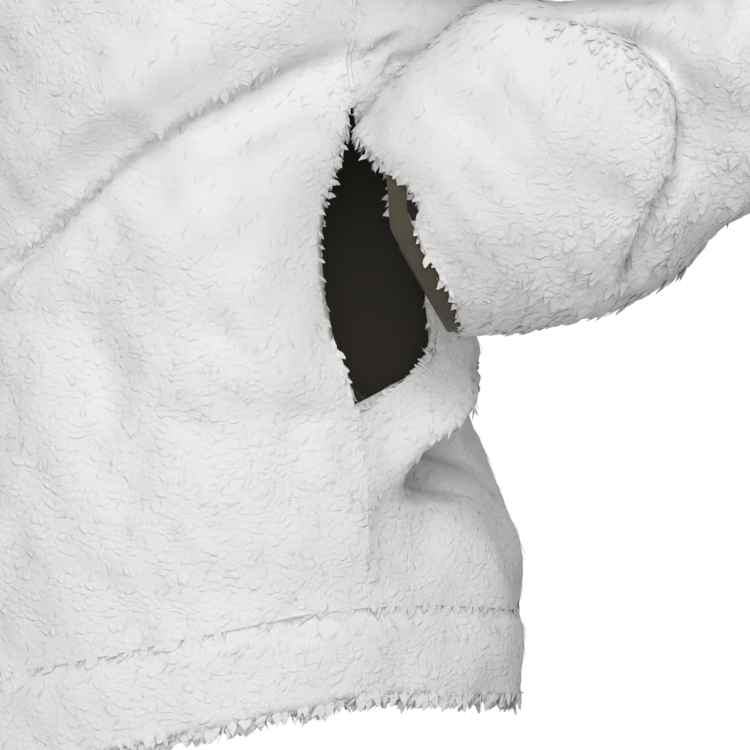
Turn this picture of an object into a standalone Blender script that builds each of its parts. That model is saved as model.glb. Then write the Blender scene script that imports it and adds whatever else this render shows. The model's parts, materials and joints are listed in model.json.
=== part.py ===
"""Sherpa fleece pullover, worn: hollow cloth pieces in metres, +Z up, origin at the base of the neck.

The wearer faces -Y, so the wearer's left is +X. The body is one smooth surface read by polar angle
(0 at the left side seam, -90 at the centre front, 90 at the centre back) and by level from hem to neck.
Each piece is cut from that surface, or stands on its edge, and is a wall as thick as backing and pile.
"""

import math

import bpy
import numpy as np

# ---------------------------------------------------------------- driving sizes, in metres
CLOTH = 0.008           # wall: knit backing and pile together
BAND_CLOTH = 0.011      # wall of a folded band
SEAM_GAP = 0.0003       # pieces are this far apart where they are sewn
ARMHOLE_GAP = 0.0004    # and this far round an armhole, where they meet at an angle
ROUNDING = 0.004        # how far a folded edge rounds off
NECKBAND_HEIGHT = 0.032
NECKBAND_LEAN = 0.006   # how far the neckband leans in at its top
NECKBAND_ROWS = ((0.35, 0.61), (0.88, 0.93))                        # share of height, of lean
HEM_BAND_ROWS = ((0.80, 0.0030), (0.45, 0.0042), (0.10, 0.0028))    # share of height, fullness
BINDING_WIDTH = 0.010   # how far the elastic binding stands out of the cuff
BINDING_DEPTH = 0.0030  # its outer face lies this far inside the fleece's outer face
BINDING_WALL = 0.0024
BINDING_SWELL = 0.0004  # its middle stands out this much more than its edges
POCKET_WALL = 0.0015    # woven pocketing

SHARP_ANGLE = 50.0      # edges that turn more than this many degrees are creases

SQUARENESS = 2.25       # exponent of the body's sections: 2 is an ellipse
LEFT_LIFT = 0.028       # the hand in the pocket pulls the left side up this far
LIFT_SPREAD = 32.0      # degrees round the body that the lift reaches

ARMHOLE_FRONT = 19.0    # degrees from the side that the armhole is cut into the front
ARMHOLE_BACK = 16.5     # and into the back

# Levels of the body from the hem up. Heights at the side, front and back, then the half sizes.
BODY_COLUMNS = ("level", "side", "front", "back", "half_width", "depth_front", "depth_back")
BODY_LEVELS = (
    ("hem_edge", -0.656, -0.688, -0.641, 0.243, 0.166, 0.172),
    ("hem_seam", -0.604, -0.628, -0.602, 0.240, 0.164, 0.170),
    ("hip", -0.542, -0.556, -0.540, 0.237, 0.164, 0.166),
    ("waist", -0.460, -0.464, -0.460, 0.224, 0.154, 0.150),
    ("ribs", -0.360, -0.360, -0.358, 0.217, 0.150, 0.145),
    ("underarm", -0.270, -0.268, -0.262, 0.226, 0.151, 0.144),
    ("chest", -0.165, -0.205, -0.180, 0.237, 0.155, 0.146),
    ("shoulder_point", -0.066, -0.148, -0.112, 0.229, 0.147, 0.137),
    ("over_shoulder", -0.046, -0.119, -0.078, 0.199, 0.136, 0.123),
    ("mid_shoulder", -0.030, -0.098, -0.050, 0.156, 0.117, 0.102),
    ("neck", -0.004, -0.078, -0.020, 0.094, 0.086, 0.074),
)
LEVEL = {row[0]: index for index, row in enumerate(BODY_LEVELS)}

# Rows of a panel's grid between two levels, and its columns by degrees from its side seam.
ROWS_HEM_TO_UNDERARM = 20
ROWS_ARMHOLE = 10
ROWS_SHOULDER = 4
PANEL_COLUMN_RUNS = ((0.0, 60.0, 13), (60.0, 120.0, 9), (120.0, 180.0, 9))  # first, last, steps

# Folds of the body: a curve by (angle, height) at its start, middle and end, how far it stands out
# (in is negative), its half width, and how far it fades at the start and at the end (1 is to nothing).
FOLD_COLUMNS = ("name", "start", "middle", "end", "stands_out", "half_width", "fade_start", "fade_end")
BODY_FOLDS = (
    ("left front roll", (-66, -0.400), (-36, -0.338), (-4, -0.285), 0.012, 0.026, 0.8, 0.7),
    ("left front groove", (-56, -0.446), (-22, -0.360), (10, -0.316), -0.013, 0.014, 0.9, 0.6),
    ("left front rim", (-46, -0.452), (-22, -0.382), (2, -0.340), 0.005, 0.014, 0.8, 0.6),
    ("side drawn out to the sleeve", (22, -0.285), (11, -0.308), (4, -0.334), 0.028, 0.026, 0.3, 0.5),
    ("left front valley", (-33, -0.425), (-33, -0.470), (-28, -0.545), -0.007, 0.018, 0.5, 0.9),
    ("filled pocket", (-18, -0.378), (-15, -0.430), (-10, -0.466), 0.011, 0.032, 0.4, 0.4),
    ("below the pocket", (-24, -0.486), (-10, -0.502), (1, -0.500), -0.006, 0.012, 0.9, 0.6),
    ("roll behind the pocket", (34, -0.454), (16, -0.478), (3, -0.514), 0.014, 0.016, 0.9, 0.8),
    ("trough behind the roll", (42, -0.496), (20, -0.512), (9, -0.540), -0.022, 0.018, 0.8, 0.7),
    ("left back hollow", (12, -0.535), (36, -0.505), (64, -0.485), -0.010, 0.028, 0.7, 0.8),
    ("left back flare", (12, -0.545), (26, -0.572), (48, -0.580), 0.008, 0.020, 0.6, 0.7),
    ("left back diagonal", (24, -0.300), (62, -0.350), (98, -0.450), -0.011, 0.026, 0.7, 0.9),
    ("left back diagonal ridge", (34, -0.275), (72, -0.325), (108, -0.415), 0.009, 0.030, 0.8, 0.9),
    ("small of the back", (62, -0.500), (95, -0.470), (132, -0.500), -0.010, 0.022, 0.9, 0.9),
    ("right back diagonal", (156, -0.295), (126, -0.350), (100, -0.440), -0.009, 0.026, 0.7, 0.9),
    ("right side gather", (-172, -0.420), (178, -0.440), (150, -0.475), -0.009, 0.018, 0.8, 0.9),
    ("right side gather ridge", (-170, -0.455), (176, -0.478), (146, -0.510), 0.008, 0.020, 0.8, 0.9),
    ("right front diagonal", (-166, -0.300), (-138, -0.365), (-108, -0.450), -0.011, 0.018, 0.6, 0.9),
    ("right front ridge", (-160, -0.275), (-130, -0.335), (-98, -0.415), 0.009, 0.022, 0.7, 0.9),
    ("front middle sag", (-128, -0.505), (-98, -0.530), (-66, -0.500), -0.007, 0.020, 0.9, 0.9),
    ("chest sag", (-138, -0.215), (-92, -0.268), (-44, -0.215), -0.007, 0.024, 0.9, 0.9),
    ("front hem wave", (-104, -0.600), (-101, -0.640), (-99, -0.690), -0.007, 0.022, 0.6, 0.0),
    ("left front hem wave", (-62, -0.575), (-59, -0.620), (-57, -0.680), 0.006, 0.022, 0.8, 0.0),
    ("back hem wave", (96, -0.560), (99, -0.600), (101, -0.660), -0.008, 0.022, 0.8, 0.0),
    ("right hem wave", (-142, -0.570), (-144, -0.610), (-146, -0.670), -0.007, 0.022, 0.8, 0.0),
)

# Side pockets: heights of the opening, how many degrees each of its edges is drawn aside, the power
# by which the back edge's arch sags (1 is even), how deep the bag is drawn out by what it holds, and
# how far inside the panels its mouth is sewn.
POCKET_COLUMNS = ("top", "bottom", "front_gape", "back_gape", "back_sag", "bag_depth", "seat")
POCKETS = {
    "left": (-0.356, -0.484, 3.5, 18.0, 0.80, 0.030, 0.0021),
    "right": (-0.380, -0.520, 1.2, 1.2, 1.00, 0.012, 0.0009),
}
POCKET_REACH = 34.0         # how far round the body a panel takes a drawn edge up
POCKET_FULLNESS = 0.9       # below 1 the drawn edges are blunter than a sine's arch
BAG_LENGTH = 44.0           # degrees round the front that the bag reaches
BAG_UNDERLAP = 1.3          # degrees that the bag's mouth lies under the panels' edges
BAG_FREE = 0.0040           # the bag lies this far inside the panels from BAG_FREE_BY of its length on
BAG_FREE_BY = 0.18
BAG_TURN_BY = 0.30          # share of the length by which both walls lie one over the other
BAG_END_WALL = 0.04         # share of the length that the wall at the closed end takes
BAG_COLUMNS = ("share", "half_height", "drop", "depth_share")
BAG_SECTIONS = (            # from the mouth to the closed end
    (0.00, 0.070, 0.000, 0.00),
    (0.06, 0.073, 0.002, 0.42),
    (0.18, 0.080, 0.008, 0.90),
    (0.40, 0.088, 0.018, 1.00),
    (0.65, 0.088, 0.026, 0.80),
    (0.85, 0.078, 0.030, 0.50),
    (1.00, 0.060, 0.032, 0.26),
)
BAG_SIDES = 20

# Sleeves: corners of the middle line from armhole to cuff, the radius that rounds each inner corner,
# and sections by distance from the cuff. The inner half is towards the inside of the elbow.
SECTION_COLUMNS = ("from_cuff", "half_inner", "half_outer", "half_across")
SLEEVES = {
    "left": {
        "corners": ((0.237, 0.004, -0.165), (0.300, 0.045, -0.190), (0.365, 0.196, -0.2805),
                    (0.2600, 0.0085, -0.4035)),
        "radii": (0.060, 0.050),
        "sections": (
            (0.000, 0.0555, 0.0560, 0.033),
            (0.012, 0.0640, 0.0630, 0.040),
            (0.038, 0.0725, 0.0740, 0.050),
            (0.062, 0.0785, 0.0806, 0.057),
            (0.086, 0.0800, 0.0825, 0.061),
            (0.114, 0.0655, 0.0805, 0.063),
            (0.144, 0.0505, 0.0785, 0.064),
            (0.170, 0.0420, 0.0780, 0.065),
            (0.265, 0.0420, 0.0770, 0.065),
            (0.285, 0.0520, 0.0770, 0.064),
            (0.315, 0.0670, 0.0770, 0.064),
            (0.345, 0.0820, 0.0790, 0.064),
            (0.440, 0.0900, 0.0900, 0.075),
        ),
        "rings": 27,
        "settle": 0.34,     # share of the sleeve over which the armhole's outline rounds off
    },
    "right": {
        "corners": ((-0.237, 0.004, -0.165), (-0.300, 0.012, -0.225), (-0.338, 0.010, -0.400),
                    (-0.322, -0.060, -0.600)),
        "radii": (0.080, 0.120),
        "sections": (
            (0.000, 0.0500, 0.0500, 0.045),
            (0.014, 0.0570, 0.0570, 0.050),
            (0.050, 0.0630, 0.0630, 0.056),
            (0.150, 0.0640, 0.0660, 0.058),
            (0.250, 0.0660, 0.0700, 0.060),
            (0.350, 0.0740, 0.0760, 0.062),
            (0.460, 0.0900, 0.0900, 0.075),
        ),
        "rings": 20,
        "settle": 0.45,
    },
}
# Folds of a sleeve: the same columns, placed by (degrees, distance from the cuff). 0 degrees faces
# away from the body, -90 the inside of the elbow and 90 its outside.
SLEEVE_FOLDS = {
    "left": (
        ("overlap at the elbow", (-66, 0.112), (4, 0.186), (68, 0.082), -0.013, 0.012, 0.5, 0.9),
        ("lobe before the overlap", (-56, 0.094), (4, 0.152), (58, 0.070), 0.005, 0.015, 0.7, 0.7),
        ("dent over the wrist", (-34, 0.052), (-6, 0.066), (28, 0.084), -0.006, 0.013, 0.8, 0.8),
        ("elbow pull", (-30, 0.230), (30, 0.205), (84, 0.235), -0.009, 0.014, 0.8, 0.8),
        ("upper arm drag", (-50, 0.330), (10, 0.300), (70, 0.345), -0.008, 0.016, 0.8, 0.8),
        ("body side fold", (-160, 0.110), (170, 0.160), (130, 0.120), -0.009, 0.014, 0.7, 0.7),
    ),
    "right": (
        ("inner elbow crease", (-150, 0.228), (-90, 0.215), (-30, 0.232), -0.009, 0.013, 0.9, 0.9),
        ("lower elbow crease", (-140, 0.190), (-85, 0.178), (-25, 0.186), -0.008, 0.013, 0.9, 0.9),
        ("upper elbow crease", (-130, 0.268), (-80, 0.262), (-20, 0.282), -0.008, 0.014, 0.9, 0.9),
        ("forearm drag", (-40, 0.105), (30, 0.120), (95, 0.085), -0.007, 0.014, 0.9, 0.9),
        ("wrist fold", (-60, 0.040), (10, 0.052), (80, 0.036), -0.006, 0.011, 0.8, 0.8),
        ("wrist fold behind", (120, 0.046), (170, 0.060), (-140, 0.048), -0.006, 0.011, 0.8, 0.8),
    ),
}


# ---------------------------------------------------------------- curves
def table_column(columns, rows, name):
    """One named column of a table."""
    place = columns.index(name)
    return np.array([row[place] for row in rows], dtype=float)


def smooth_read(places, values, at):
    """Reads a row of values at a place, along a curve that never overshoots them."""
    count = len(values)
    slopes = np.diff(values) / np.diff(places)
    tangents = np.concatenate(([slopes[0]], np.zeros(count - 2), [slopes[-1]]))
    for index in range(1, count - 1):
        before, after = slopes[index - 1], slopes[index]
        if before * after > 0.0:
            tangents[index] = 2.0 * before * after / (before + after)
    at = min(max(at, places[0]), places[-1])
    low = min(int(np.searchsorted(places, at, side="right")) - 1, count - 2)
    width = places[low + 1] - places[low]
    part = (at - places[low]) / width
    square, cube = part * part, part * part * part
    return (
        (2 * cube - 3 * square + 1) * values[low]
        + (cube - 2 * square + part) * tangents[low] * width
        + (3 * square - 2 * cube) * values[low + 1]
        + (cube - square) * tangents[low + 1] * width
    )


def ease(value):
    """0 to 1 with soft ends."""
    part = min(max(value, 0.0), 1.0)
    return part * part * (3.0 - 2.0 * part)


def wrap_angle(degrees):
    """An angle between -180 and 180."""
    return (degrees + 180.0) % 360.0 - 180.0


def unit(vector):
    return vector / np.linalg.norm(vector)


class Folds:
    """Soft ridges and troughs along curves on a surface that is read by angle and distance."""

    CURVE_STEPS = 24

    def __init__(self, rows, metres_per_degree):
        self.scale = metres_per_degree
        parts = np.linspace(0.0, 1.0, self.CURVE_STEPS + 1)
        fade_in = np.array([ease(2.0 * part) for part in parts])
        fade_out = np.array([ease(2.0 * (1.0 - part)) for part in parts])
        self.curves = []
        for row in rows:
            fold = dict(zip(FOLD_COLUMNS, row))
            start, middle, end = (np.array((spot[0] * self.scale, spot[1]))
                                  for spot in (fold["start"], fold["middle"], fold["end"]))
            share = parts[:, None]
            spots = (1 - share) ** 2 * start + 2 * share * (1 - share) * middle + share ** 2 * end
            strength = (1 - fold["fade_start"] * (1 - fade_in)) * (1 - fold["fade_end"] * (1 - fade_out))
            self.curves.append((spots, fold["stands_out"] * strength, fold["half_width"]))

    def height(self, angle, distance):
        """How far the folds move the surface at this place."""
        here = np.array((wrap_angle(angle) * self.scale, distance))
        total = 0.0
        for spots, strengths, half_width in self.curves:
            squares = ((spots - here) ** 2).sum(axis=1)
            nearest = int(np.argmin(squares))
            total += strengths[nearest] * math.exp(-squares[nearest] / half_width ** 2)
        return total


# ---------------------------------------------------------------- the body's surface
class Body:
    """The outer surface of the worn body of the pullover, before it is cut into panels."""

    MEAN_RADIUS = 0.215
    LEVEL_STEP = 0.04       # half the spans over which directions on the surface are read
    ANGLE_STEP = 0.8
    HALVINGS = 24
    places = np.arange(len(BODY_LEVELS), dtype=float)
    tables = {name: table_column(BODY_COLUMNS, BODY_LEVELS, name) for name in BODY_COLUMNS[1:]}
    folds = Folds(BODY_FOLDS, MEAN_RADIUS * math.pi / 180.0)

    @classmethod
    def read(cls, name, level):
        return smooth_read(cls.places, cls.tables[name], level)

    @classmethod
    def height(cls, angle, level):
        """Height of a level at an angle, with the left side lifted by the arm."""
        turn = math.radians(angle)
        side_share = math.cos(turn) ** 2
        middle = cls.read("front" if math.sin(turn) < 0 else "back", level)
        height = side_share * cls.read("side", level) + (1.0 - side_share) * middle
        spread = math.exp(-((wrap_angle(angle) / LIFT_SPREAD) ** 2))
        return height + LEFT_LIFT * spread * (1.0 - ease(level / LEVEL["ribs"]))

    @classmethod
    def level_at(cls, angle, height):
        """The level that lies at a height, at an angle."""
        low, high = 0.0, float(LEVEL["underarm"])
        for _ in range(cls.HALVINGS):
            middle = 0.5 * (low + high)
            if cls.height(angle, middle) < height:
                low = middle
            else:
                high = middle
        return 0.5 * (low + high)

    @classmethod
    def radius(cls, angle, level):
        """Distance from the middle of the body, without folds."""
        turn = math.radians(angle)
        depth = cls.read("depth_front" if math.sin(turn) < 0 else "depth_back", level)
        width = cls.read("half_width", level)
        across = (abs(math.cos(turn)) / width) ** SQUARENESS
        along = (abs(math.sin(turn)) / depth) ** SQUARENESS
        return (across + along) ** (-1.0 / SQUARENESS)

    @classmethod
    def point(cls, angle, level):
        turn = math.radians(angle)
        height = cls.height(angle, level)
        radius = cls.radius(angle, level) + cls.folds.height(angle, height)
        return np.array((radius * math.cos(turn), radius * math.sin(turn), height))

    @classmethod
    def upward(cls, angle, level):
        """Unit tangent that points from hem to neck."""
        above = min(level + cls.LEVEL_STEP, len(BODY_LEVELS) - 1)
        below = max(level - cls.LEVEL_STEP, 0.0)
        return unit(cls.point(angle, above) - cls.point(angle, below))

    @classmethod
    def normal(cls, angle, level):
        """Unit normal that points away from the wearer."""
        around = cls.point(angle + cls.ANGLE_STEP, level) - cls.point(angle - cls.ANGLE_STEP, level)
        return unit(np.cross(around, cls.upward(angle, level)))

    @classmethod
    def wall(cls, angle, level, thickness=CLOTH):
        """Outer and inner point of the wall."""
        outer = cls.point(angle, level)
        return outer, outer - thickness * cls.normal(angle, level)


# ---------------------------------------------------------------- meshes
def strip(first, second, closed=False):
    """Triangles between two rows of vertex numbers, always split the same way."""
    faces = []
    count = len(first)
    for index in range(count if closed else count - 1):
        after = (index + 1) % count
        faces.append((first[index], first[after], second[index]))
        faces.append((second[index], first[after], second[after]))
    return faces


def turned(faces):
    return [face[::-1] for face in faces]


def signed_volume(points, faces):
    corners = np.array([[points[number] for number in face] for face in faces])
    return float(np.einsum("ij,ij->i", corners[:, 0], np.cross(corners[:, 1], corners[:, 2])).sum())


def add_solid(name, points, faces, material):
    """A named object from triangles, turned so that its faces point out."""
    if signed_volume(points, faces) < 0.0:
        faces = turned(faces)
    mesh = bpy.data.meshes.new(name)
    mesh.from_pydata([tuple(point) for point in points], [], faces)
    mesh.materials.append(material)
    mesh.shade_smooth()
    mesh.set_sharp_from_angle(angle=math.radians(SHARP_ANGLE))
    thing = bpy.data.objects.new(name, mesh)
    bpy.context.scene.collection.objects.link(thing)
    return thing


def row_numbers(grid, first_number=0):
    """Vertex numbers of a grid of points, row by row."""
    width = len(grid[0])
    return [[first_number + row * width + place for place in range(width)] for row in range(len(grid))]


def panel_solid(name, outer, inner, material):
    """A wall between two open grids of points, closed along its four edges."""
    points = [point for row in outer + inner for point in row]
    out_rows = row_numbers(outer)
    in_rows = row_numbers(inner, len(outer) * len(outer[0]))
    faces = []
    for row in range(len(outer) - 1):
        faces += strip(out_rows[row], out_rows[row + 1])
        faces += turned(strip(in_rows[row], in_rows[row + 1]))
    faces += turned(strip(out_rows[0], in_rows[0]))
    faces += strip(out_rows[-1], in_rows[-1])
    faces += strip([row[0] for row in out_rows], [row[0] for row in in_rows])
    faces += turned(strip([row[-1] for row in out_rows], [row[-1] for row in in_rows]))
    return add_solid(name, points, faces, material)


def ring_solid(name, rings, material, armhole_ring=False):
    """A tube's wall from closed rings: up its outer face, over its edge and down its inner face.

    The last ring joins the first one. Where the first ring is an armhole's outline, that joining
    face is split as the panels' edges are, upwards along both halves of the armhole.
    """
    points = [point for ring in rings for point in ring]
    rows = row_numbers(rings)
    faces = []
    for row in range(len(rings) - 1):
        faces += strip(rows[row], rows[row + 1], closed=True)
    if armhole_ring:
        half = len(rows[0]) // 2
        for_front = list(range(half + 1))
        for_back = [0] + list(range(len(rows[0]) - 1, half - 1, -1))
        faces += turned(strip([rows[0][n] for n in for_front], [rows[-1][n] for n in for_front]))
        faces += strip([rows[0][n] for n in for_back], [rows[-1][n] for n in for_back])
    else:
        faces += turned(strip(rows[0], rows[-1], closed=True))
    return add_solid(name, points, faces, material)


def capped_cup(name, outer, inner, material):
    """A cup from rings: outer rings from mouth to end, inner rings likewise, both ends filled."""
    points = [point for ring in outer + inner for point in ring]
    out_rows = row_numbers(outer)
    in_rows = row_numbers(inner, len(points) - len(inner) * len(inner[0]))
    faces = strip(in_rows[0], out_rows[0], closed=True)
    for row in range(len(outer) - 1):
        faces += strip(out_rows[row], out_rows[row + 1], closed=True)
        faces += turned(strip(in_rows[row], in_rows[row + 1], closed=True))
    for rows, rings, inward in ((out_rows, outer, False), (in_rows, inner, True)):
        points.append(np.mean(rings[-1], axis=0))
        count = len(rows[-1])
        fan = [(rows[-1][n], rows[-1][(n + 1) % count], len(points) - 1) for n in range(count)]
        faces += turned(fan) if inward else fan
    return add_solid(name, points, faces, material)


def make_material(name, colour, roughness):
    material = bpy.data.materials.new(name)
    material.use_nodes = True
    shader = material.node_tree.nodes["Principled BSDF"]
    shader.inputs["Base Color"].default_value = (*colour, 1.0)
    shader.inputs["Roughness"].default_value = roughness
    shader.inputs["Metallic"].default_value = 0.0
    return material


# ---------------------------------------------------------------- front and back
def panel_levels():
    """Levels of a panel's rows, and the row where the armhole starts."""
    start, end = LEVEL["hem_seam"], LEVEL["underarm"]
    levels = [start + (end - start) * step / ROWS_HEM_TO_UNDERARM for step in range(ROWS_HEM_TO_UNDERARM)]
    armhole_start = len(levels)
    levels += [armhole_level(step) for step in range(ROWS_ARMHOLE + 1)]
    start, end = LEVEL["shoulder_point"], LEVEL["neck"]
    levels += [start + (end - start) * step / ROWS_SHOULDER for step in range(1, ROWS_SHOULDER + 1)]
    return levels, armhole_start


def armhole_level(step):
    """Level of a row on the armhole: rows lie closer at its bottom and top, where it rounds."""
    start, end = LEVEL["underarm"], LEVEL["shoulder_point"]
    return start + (end - start) * (1.0 - math.cos(math.pi * step / ROWS_ARMHOLE)) / 2.0


def armhole_cut(step, side):
    """Degrees that the armhole is cut into the front (side -1) or the back (side 1)."""
    if step <= 0 or step >= ROWS_ARMHOLE:
        return 0.0
    return (ARMHOLE_FRONT if side < 0 else ARMHOLE_BACK) * math.sin(math.pi * step / ROWS_ARMHOLE)


def pocket(which):
    return dict(zip(POCKET_COLUMNS, POCKETS[which]))


def pocket_pull(which, side, height):
    """Degrees that an edge of a pocket's opening is drawn aside at a height."""
    opening = pocket(which)
    share = (height - opening["bottom"]) / (opening["top"] - opening["bottom"])
    if share <= 0.0 or share >= 1.0:
        return 0.0
    if side > 0:
        share **= opening["back_sag"]
    return opening["front_gape" if side < 0 else "back_gape"] * math.sin(math.pi * share) ** POCKET_FULLNESS


def column_shares():
    """Shares of a panel's width, from its left side seam (0) to its right one (1)."""
    shares = [0.0]
    for start, end, steps in PANEL_COLUMN_RUNS:
        shares += [(start + (end - start) * step / steps) / 180.0 for step in range(1, steps + 1)]
    return shares


def panel_angles(side, level, cut):
    """Angles of one row of a panel, from the left side seam to the right one."""
    seam = math.degrees(0.5 * SEAM_GAP / Body.radius(0.0, level))
    cut = max(cut, seam)
    pulls = {which: pocket_pull(which, side, Body.height(edge, level))
             for which, edge in (("left", 0.0), ("right", 180.0))}
    angles = []
    for share in column_shares():
        from_left = cut + share * (180.0 - 2.0 * cut)
        from_right = 180.0 - from_left
        if from_left < POCKET_REACH:
            from_left += pulls["left"] * (1.0 - from_left / POCKET_REACH)
        elif from_right < POCKET_REACH:
            from_left -= pulls["right"] * (1.0 - from_right / POCKET_REACH)
        angles.append(side * from_left)
    return angles


def make_panel(name, side, material):
    """The front (side -1) or the back (side 1), from hem seam to neckline.

    Both run the same way round the body, so that their edges are split alike.
    """
    levels, armhole_start = panel_levels()
    outer, inner = [], []
    for row, level in enumerate(levels):
        angles = panel_angles(side, level, armhole_cut(row - armhole_start, side))
        pairs = [Body.wall(angle, level) for angle in (angles if side < 0 else angles[::-1])]
        outer.append([pair[0] for pair in pairs])
        inner.append([pair[1] for pair in pairs])
    return panel_solid(name, outer, inner, material)


# ---------------------------------------------------------------- hem band and neckband
def ring_angles():
    """Angles of a whole ring: along the front from left to right, then along the back."""
    middle = [180.0 * share for share in column_shares()][1:-1]
    return [0.0] + [-angle for angle in middle] + [180.0] + middle[::-1]


def seam_ring(level):
    """Outer and inner points of a ring on the body that the panels' edges share."""
    front = panel_angles(-1, level, 0.0)[1:-1]
    back = panel_angles(1, level, 0.0)[1:-1]
    pairs = [Body.wall(angle, level) for angle in [0.0] + front + [180.0] + back[::-1]]
    return [pair[0] for pair in pairs], [pair[1] for pair in pairs]


def make_hem_band(name, material):
    """A band turned under at the hem: fuller in the middle, rounded along its lower fold."""
    down = np.array((0.0, 0.0, -1.0))
    top_outer, top_inner = seam_ring(LEVEL["hem_seam"])
    outer_rows, inner_rows = [], []
    for share, fullness in HEM_BAND_ROWS:
        level = LEVEL["hem_edge"] + share * (LEVEL["hem_seam"] - LEVEL["hem_edge"])
        outer_ring, inner_ring = [], []
        for angle in ring_angles():
            normal = Body.normal(angle, level)
            outer = Body.point(angle, level) + fullness * normal
            outer_ring.append(outer)
            inner_ring.append(outer - BAND_CLOTH * normal)
        outer_rows.append(outer_ring)
        inner_rows.append(inner_ring)
    fold = [(outer + inner) / 2.0 + ROUNDING * down for outer, inner in zip(outer_rows[-1], inner_rows[-1])]
    gap = SEAM_GAP * down
    rings = [[point + gap for point in top_outer]] + outer_rows + [fold] + inner_rows[::-1]
    rings.append([point + gap for point in top_inner])
    return ring_solid(name, rings, material)


def make_neckband(name, material):
    """A low stand-up band on the neckline."""
    level = LEVEL["neck"]
    base_outer, base_inner = seam_ring(level)
    steps = [SEAM_GAP * Body.upward(angle, level) for angle in ring_angles()]
    rings = [[point + step for point, step in zip(base_outer, steps)]]
    outer_rows, inner_rows = [], []
    for share, lean_share in NECKBAND_ROWS:
        outer_ring, inner_ring = [], []
        for point in base_outer:
            inwards = -unit(np.array((point[0], point[1], 0.0)))
            up = np.array((0.0, 0.0, share * NECKBAND_HEIGHT))
            outer = point + lean_share * NECKBAND_LEAN * inwards + up
            outer_ring.append(outer)
            inner_ring.append(outer + CLOTH * inwards)
        outer_rows.append(outer_ring)
        inner_rows.append(inner_ring)
    crown = np.array((0.0, 0.0, ROUNDING))
    fold = [(outer + inner) / 2.0 + crown for outer, inner in zip(outer_rows[-1], inner_rows[-1])]
    rings += outer_rows + [fold] + inner_rows[::-1]
    rings.append([point + step for point, step in zip(base_inner, steps)])
    return ring_solid(name, rings, material)


# ---------------------------------------------------------------- sleeves and their bindings
def rounded_path(corners, radii, spacing=0.002):
    """Points along a line through corners, each inner corner rounded by an arc."""
    corners = [np.array(corner) for corner in corners]
    points = [corners[0]]
    for index, radius in enumerate(radii):
        before, corner, after = corners[index], corners[index + 1], corners[index + 2]
        arriving, leaving = unit(corner - before), unit(after - corner)
        turn = math.acos(float(np.dot(arriving, leaving)))
        cut_back = radius * math.tan(turn / 2.0)
        side = unit(leaving - np.dot(leaving, arriving) * arriving)
        start = corner - cut_back * arriving
        steps = max(int(radius * turn / spacing), 4)
        for step in range(steps + 1):
            angle = turn * step / steps
            points.append(start + radius * (math.sin(angle) * arriving + (1 - math.cos(angle)) * side))
    points.append(corners[-1])
    return np.array(points)


class Sleeve:
    """A sleeve's middle line, its sections along it and the frame they stand in."""

    MEAN_RADIUS = 0.065
    HALF_STEP = 0.006       # half the span over which the middle line's direction is read

    def __init__(self, which):
        sizes = SLEEVES[which]
        self.path = rounded_path(sizes["corners"], sizes["radii"])
        runs = np.linalg.norm(np.diff(self.path, axis=0), axis=1)
        self.along = np.concatenate(([0.0], np.cumsum(runs)))
        self.length = float(self.along[-1])
        rows = sizes["sections"]
        self.places = table_column(SECTION_COLUMNS, rows, "from_cuff")
        self.sections = {name: table_column(SECTION_COLUMNS, rows, name) for name in SECTION_COLUMNS[1:]}
        elbow, cuff = np.array(sizes["corners"][-2]), np.array(sizes["corners"][-1])
        arriving = unit(elbow - np.array(sizes["corners"][-3]))
        self.across = unit(np.cross(arriving, unit(cuff - elbow)))
        self.folds = Folds(SLEEVE_FOLDS[which], self.MEAN_RADIUS * math.pi / 180.0)

    def middle(self, along):
        return np.array([np.interp(along, self.along, self.path[:, axis]) for axis in range(3)])

    def frame(self, along):
        """Unit vectors along the sleeve, across the elbow's plane and towards the elbow's inside."""
        ahead, behind = min(along + self.HALF_STEP, self.length), max(along - self.HALF_STEP, 0.0)
        tangent = unit(self.middle(ahead) - self.middle(behind))
        across = unit(self.across - np.dot(self.across, tangent) * tangent)
        return tangent, across, np.cross(across, tangent)

    def point(self, along, degrees):
        """Outer point at a distance from the armhole and an angle round the section."""
        from_cuff = self.length - along
        _, across, inwards = self.frame(along)
        half = {name: smooth_read(self.places, row, from_cuff) for name, row in self.sections.items()}
        cosine, sine = math.cos(math.radians(degrees)), math.sin(math.radians(degrees))
        tall = half["half_inner"] if sine > 0.0 else half["half_outer"]
        offset = half["half_across"] * cosine * across + tall * sine * inwards
        fold = self.folds.height(wrap_angle(degrees - 180.0), from_cuff)
        return self.middle(along) + offset + fold * unit(offset)


def armhole_outline(which):
    """Outer and inner points of an armhole: up its front half, then down its back half."""
    seam_angle = 0.0 if which == "left" else 180.0
    flip = 1.0 if which == "left" else -1.0
    places = [(-1, step) for step in range(ROWS_ARMHOLE + 1)]
    places += [(1, step) for step in range(ROWS_ARMHOLE - 1, 0, -1)]
    outer, inner = [], []
    for side, step in places:
        angle = seam_angle + flip * side * armhole_cut(step, side)
        outer_point, inner_point = Body.wall(angle, armhole_level(step))
        outer.append(outer_point)
        inner.append(inner_point)
    middle = np.mean(outer, axis=0)
    shifts = [ARMHOLE_GAP * unit(middle - point) for point in outer]
    return ([point + shift for point, shift in zip(outer, shifts)],
            [point + shift for point, shift in zip(inner, shifts)])


def outline_angles(sleeve, outline):
    """Angles round the sleeve at which an outline's points leave it, always growing."""
    _, across, inwards = sleeve.frame(0.0)
    middle = np.mean(outline, axis=0)
    angles = []
    for point in outline:
        offset = point - middle
        angle = math.degrees(math.atan2(float(offset @ inwards), float(offset @ across)))
        if angles:
            angle = angles[-1] + wrap_angle(angle - angles[-1])
        angles.append(angle)
    return angles


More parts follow.
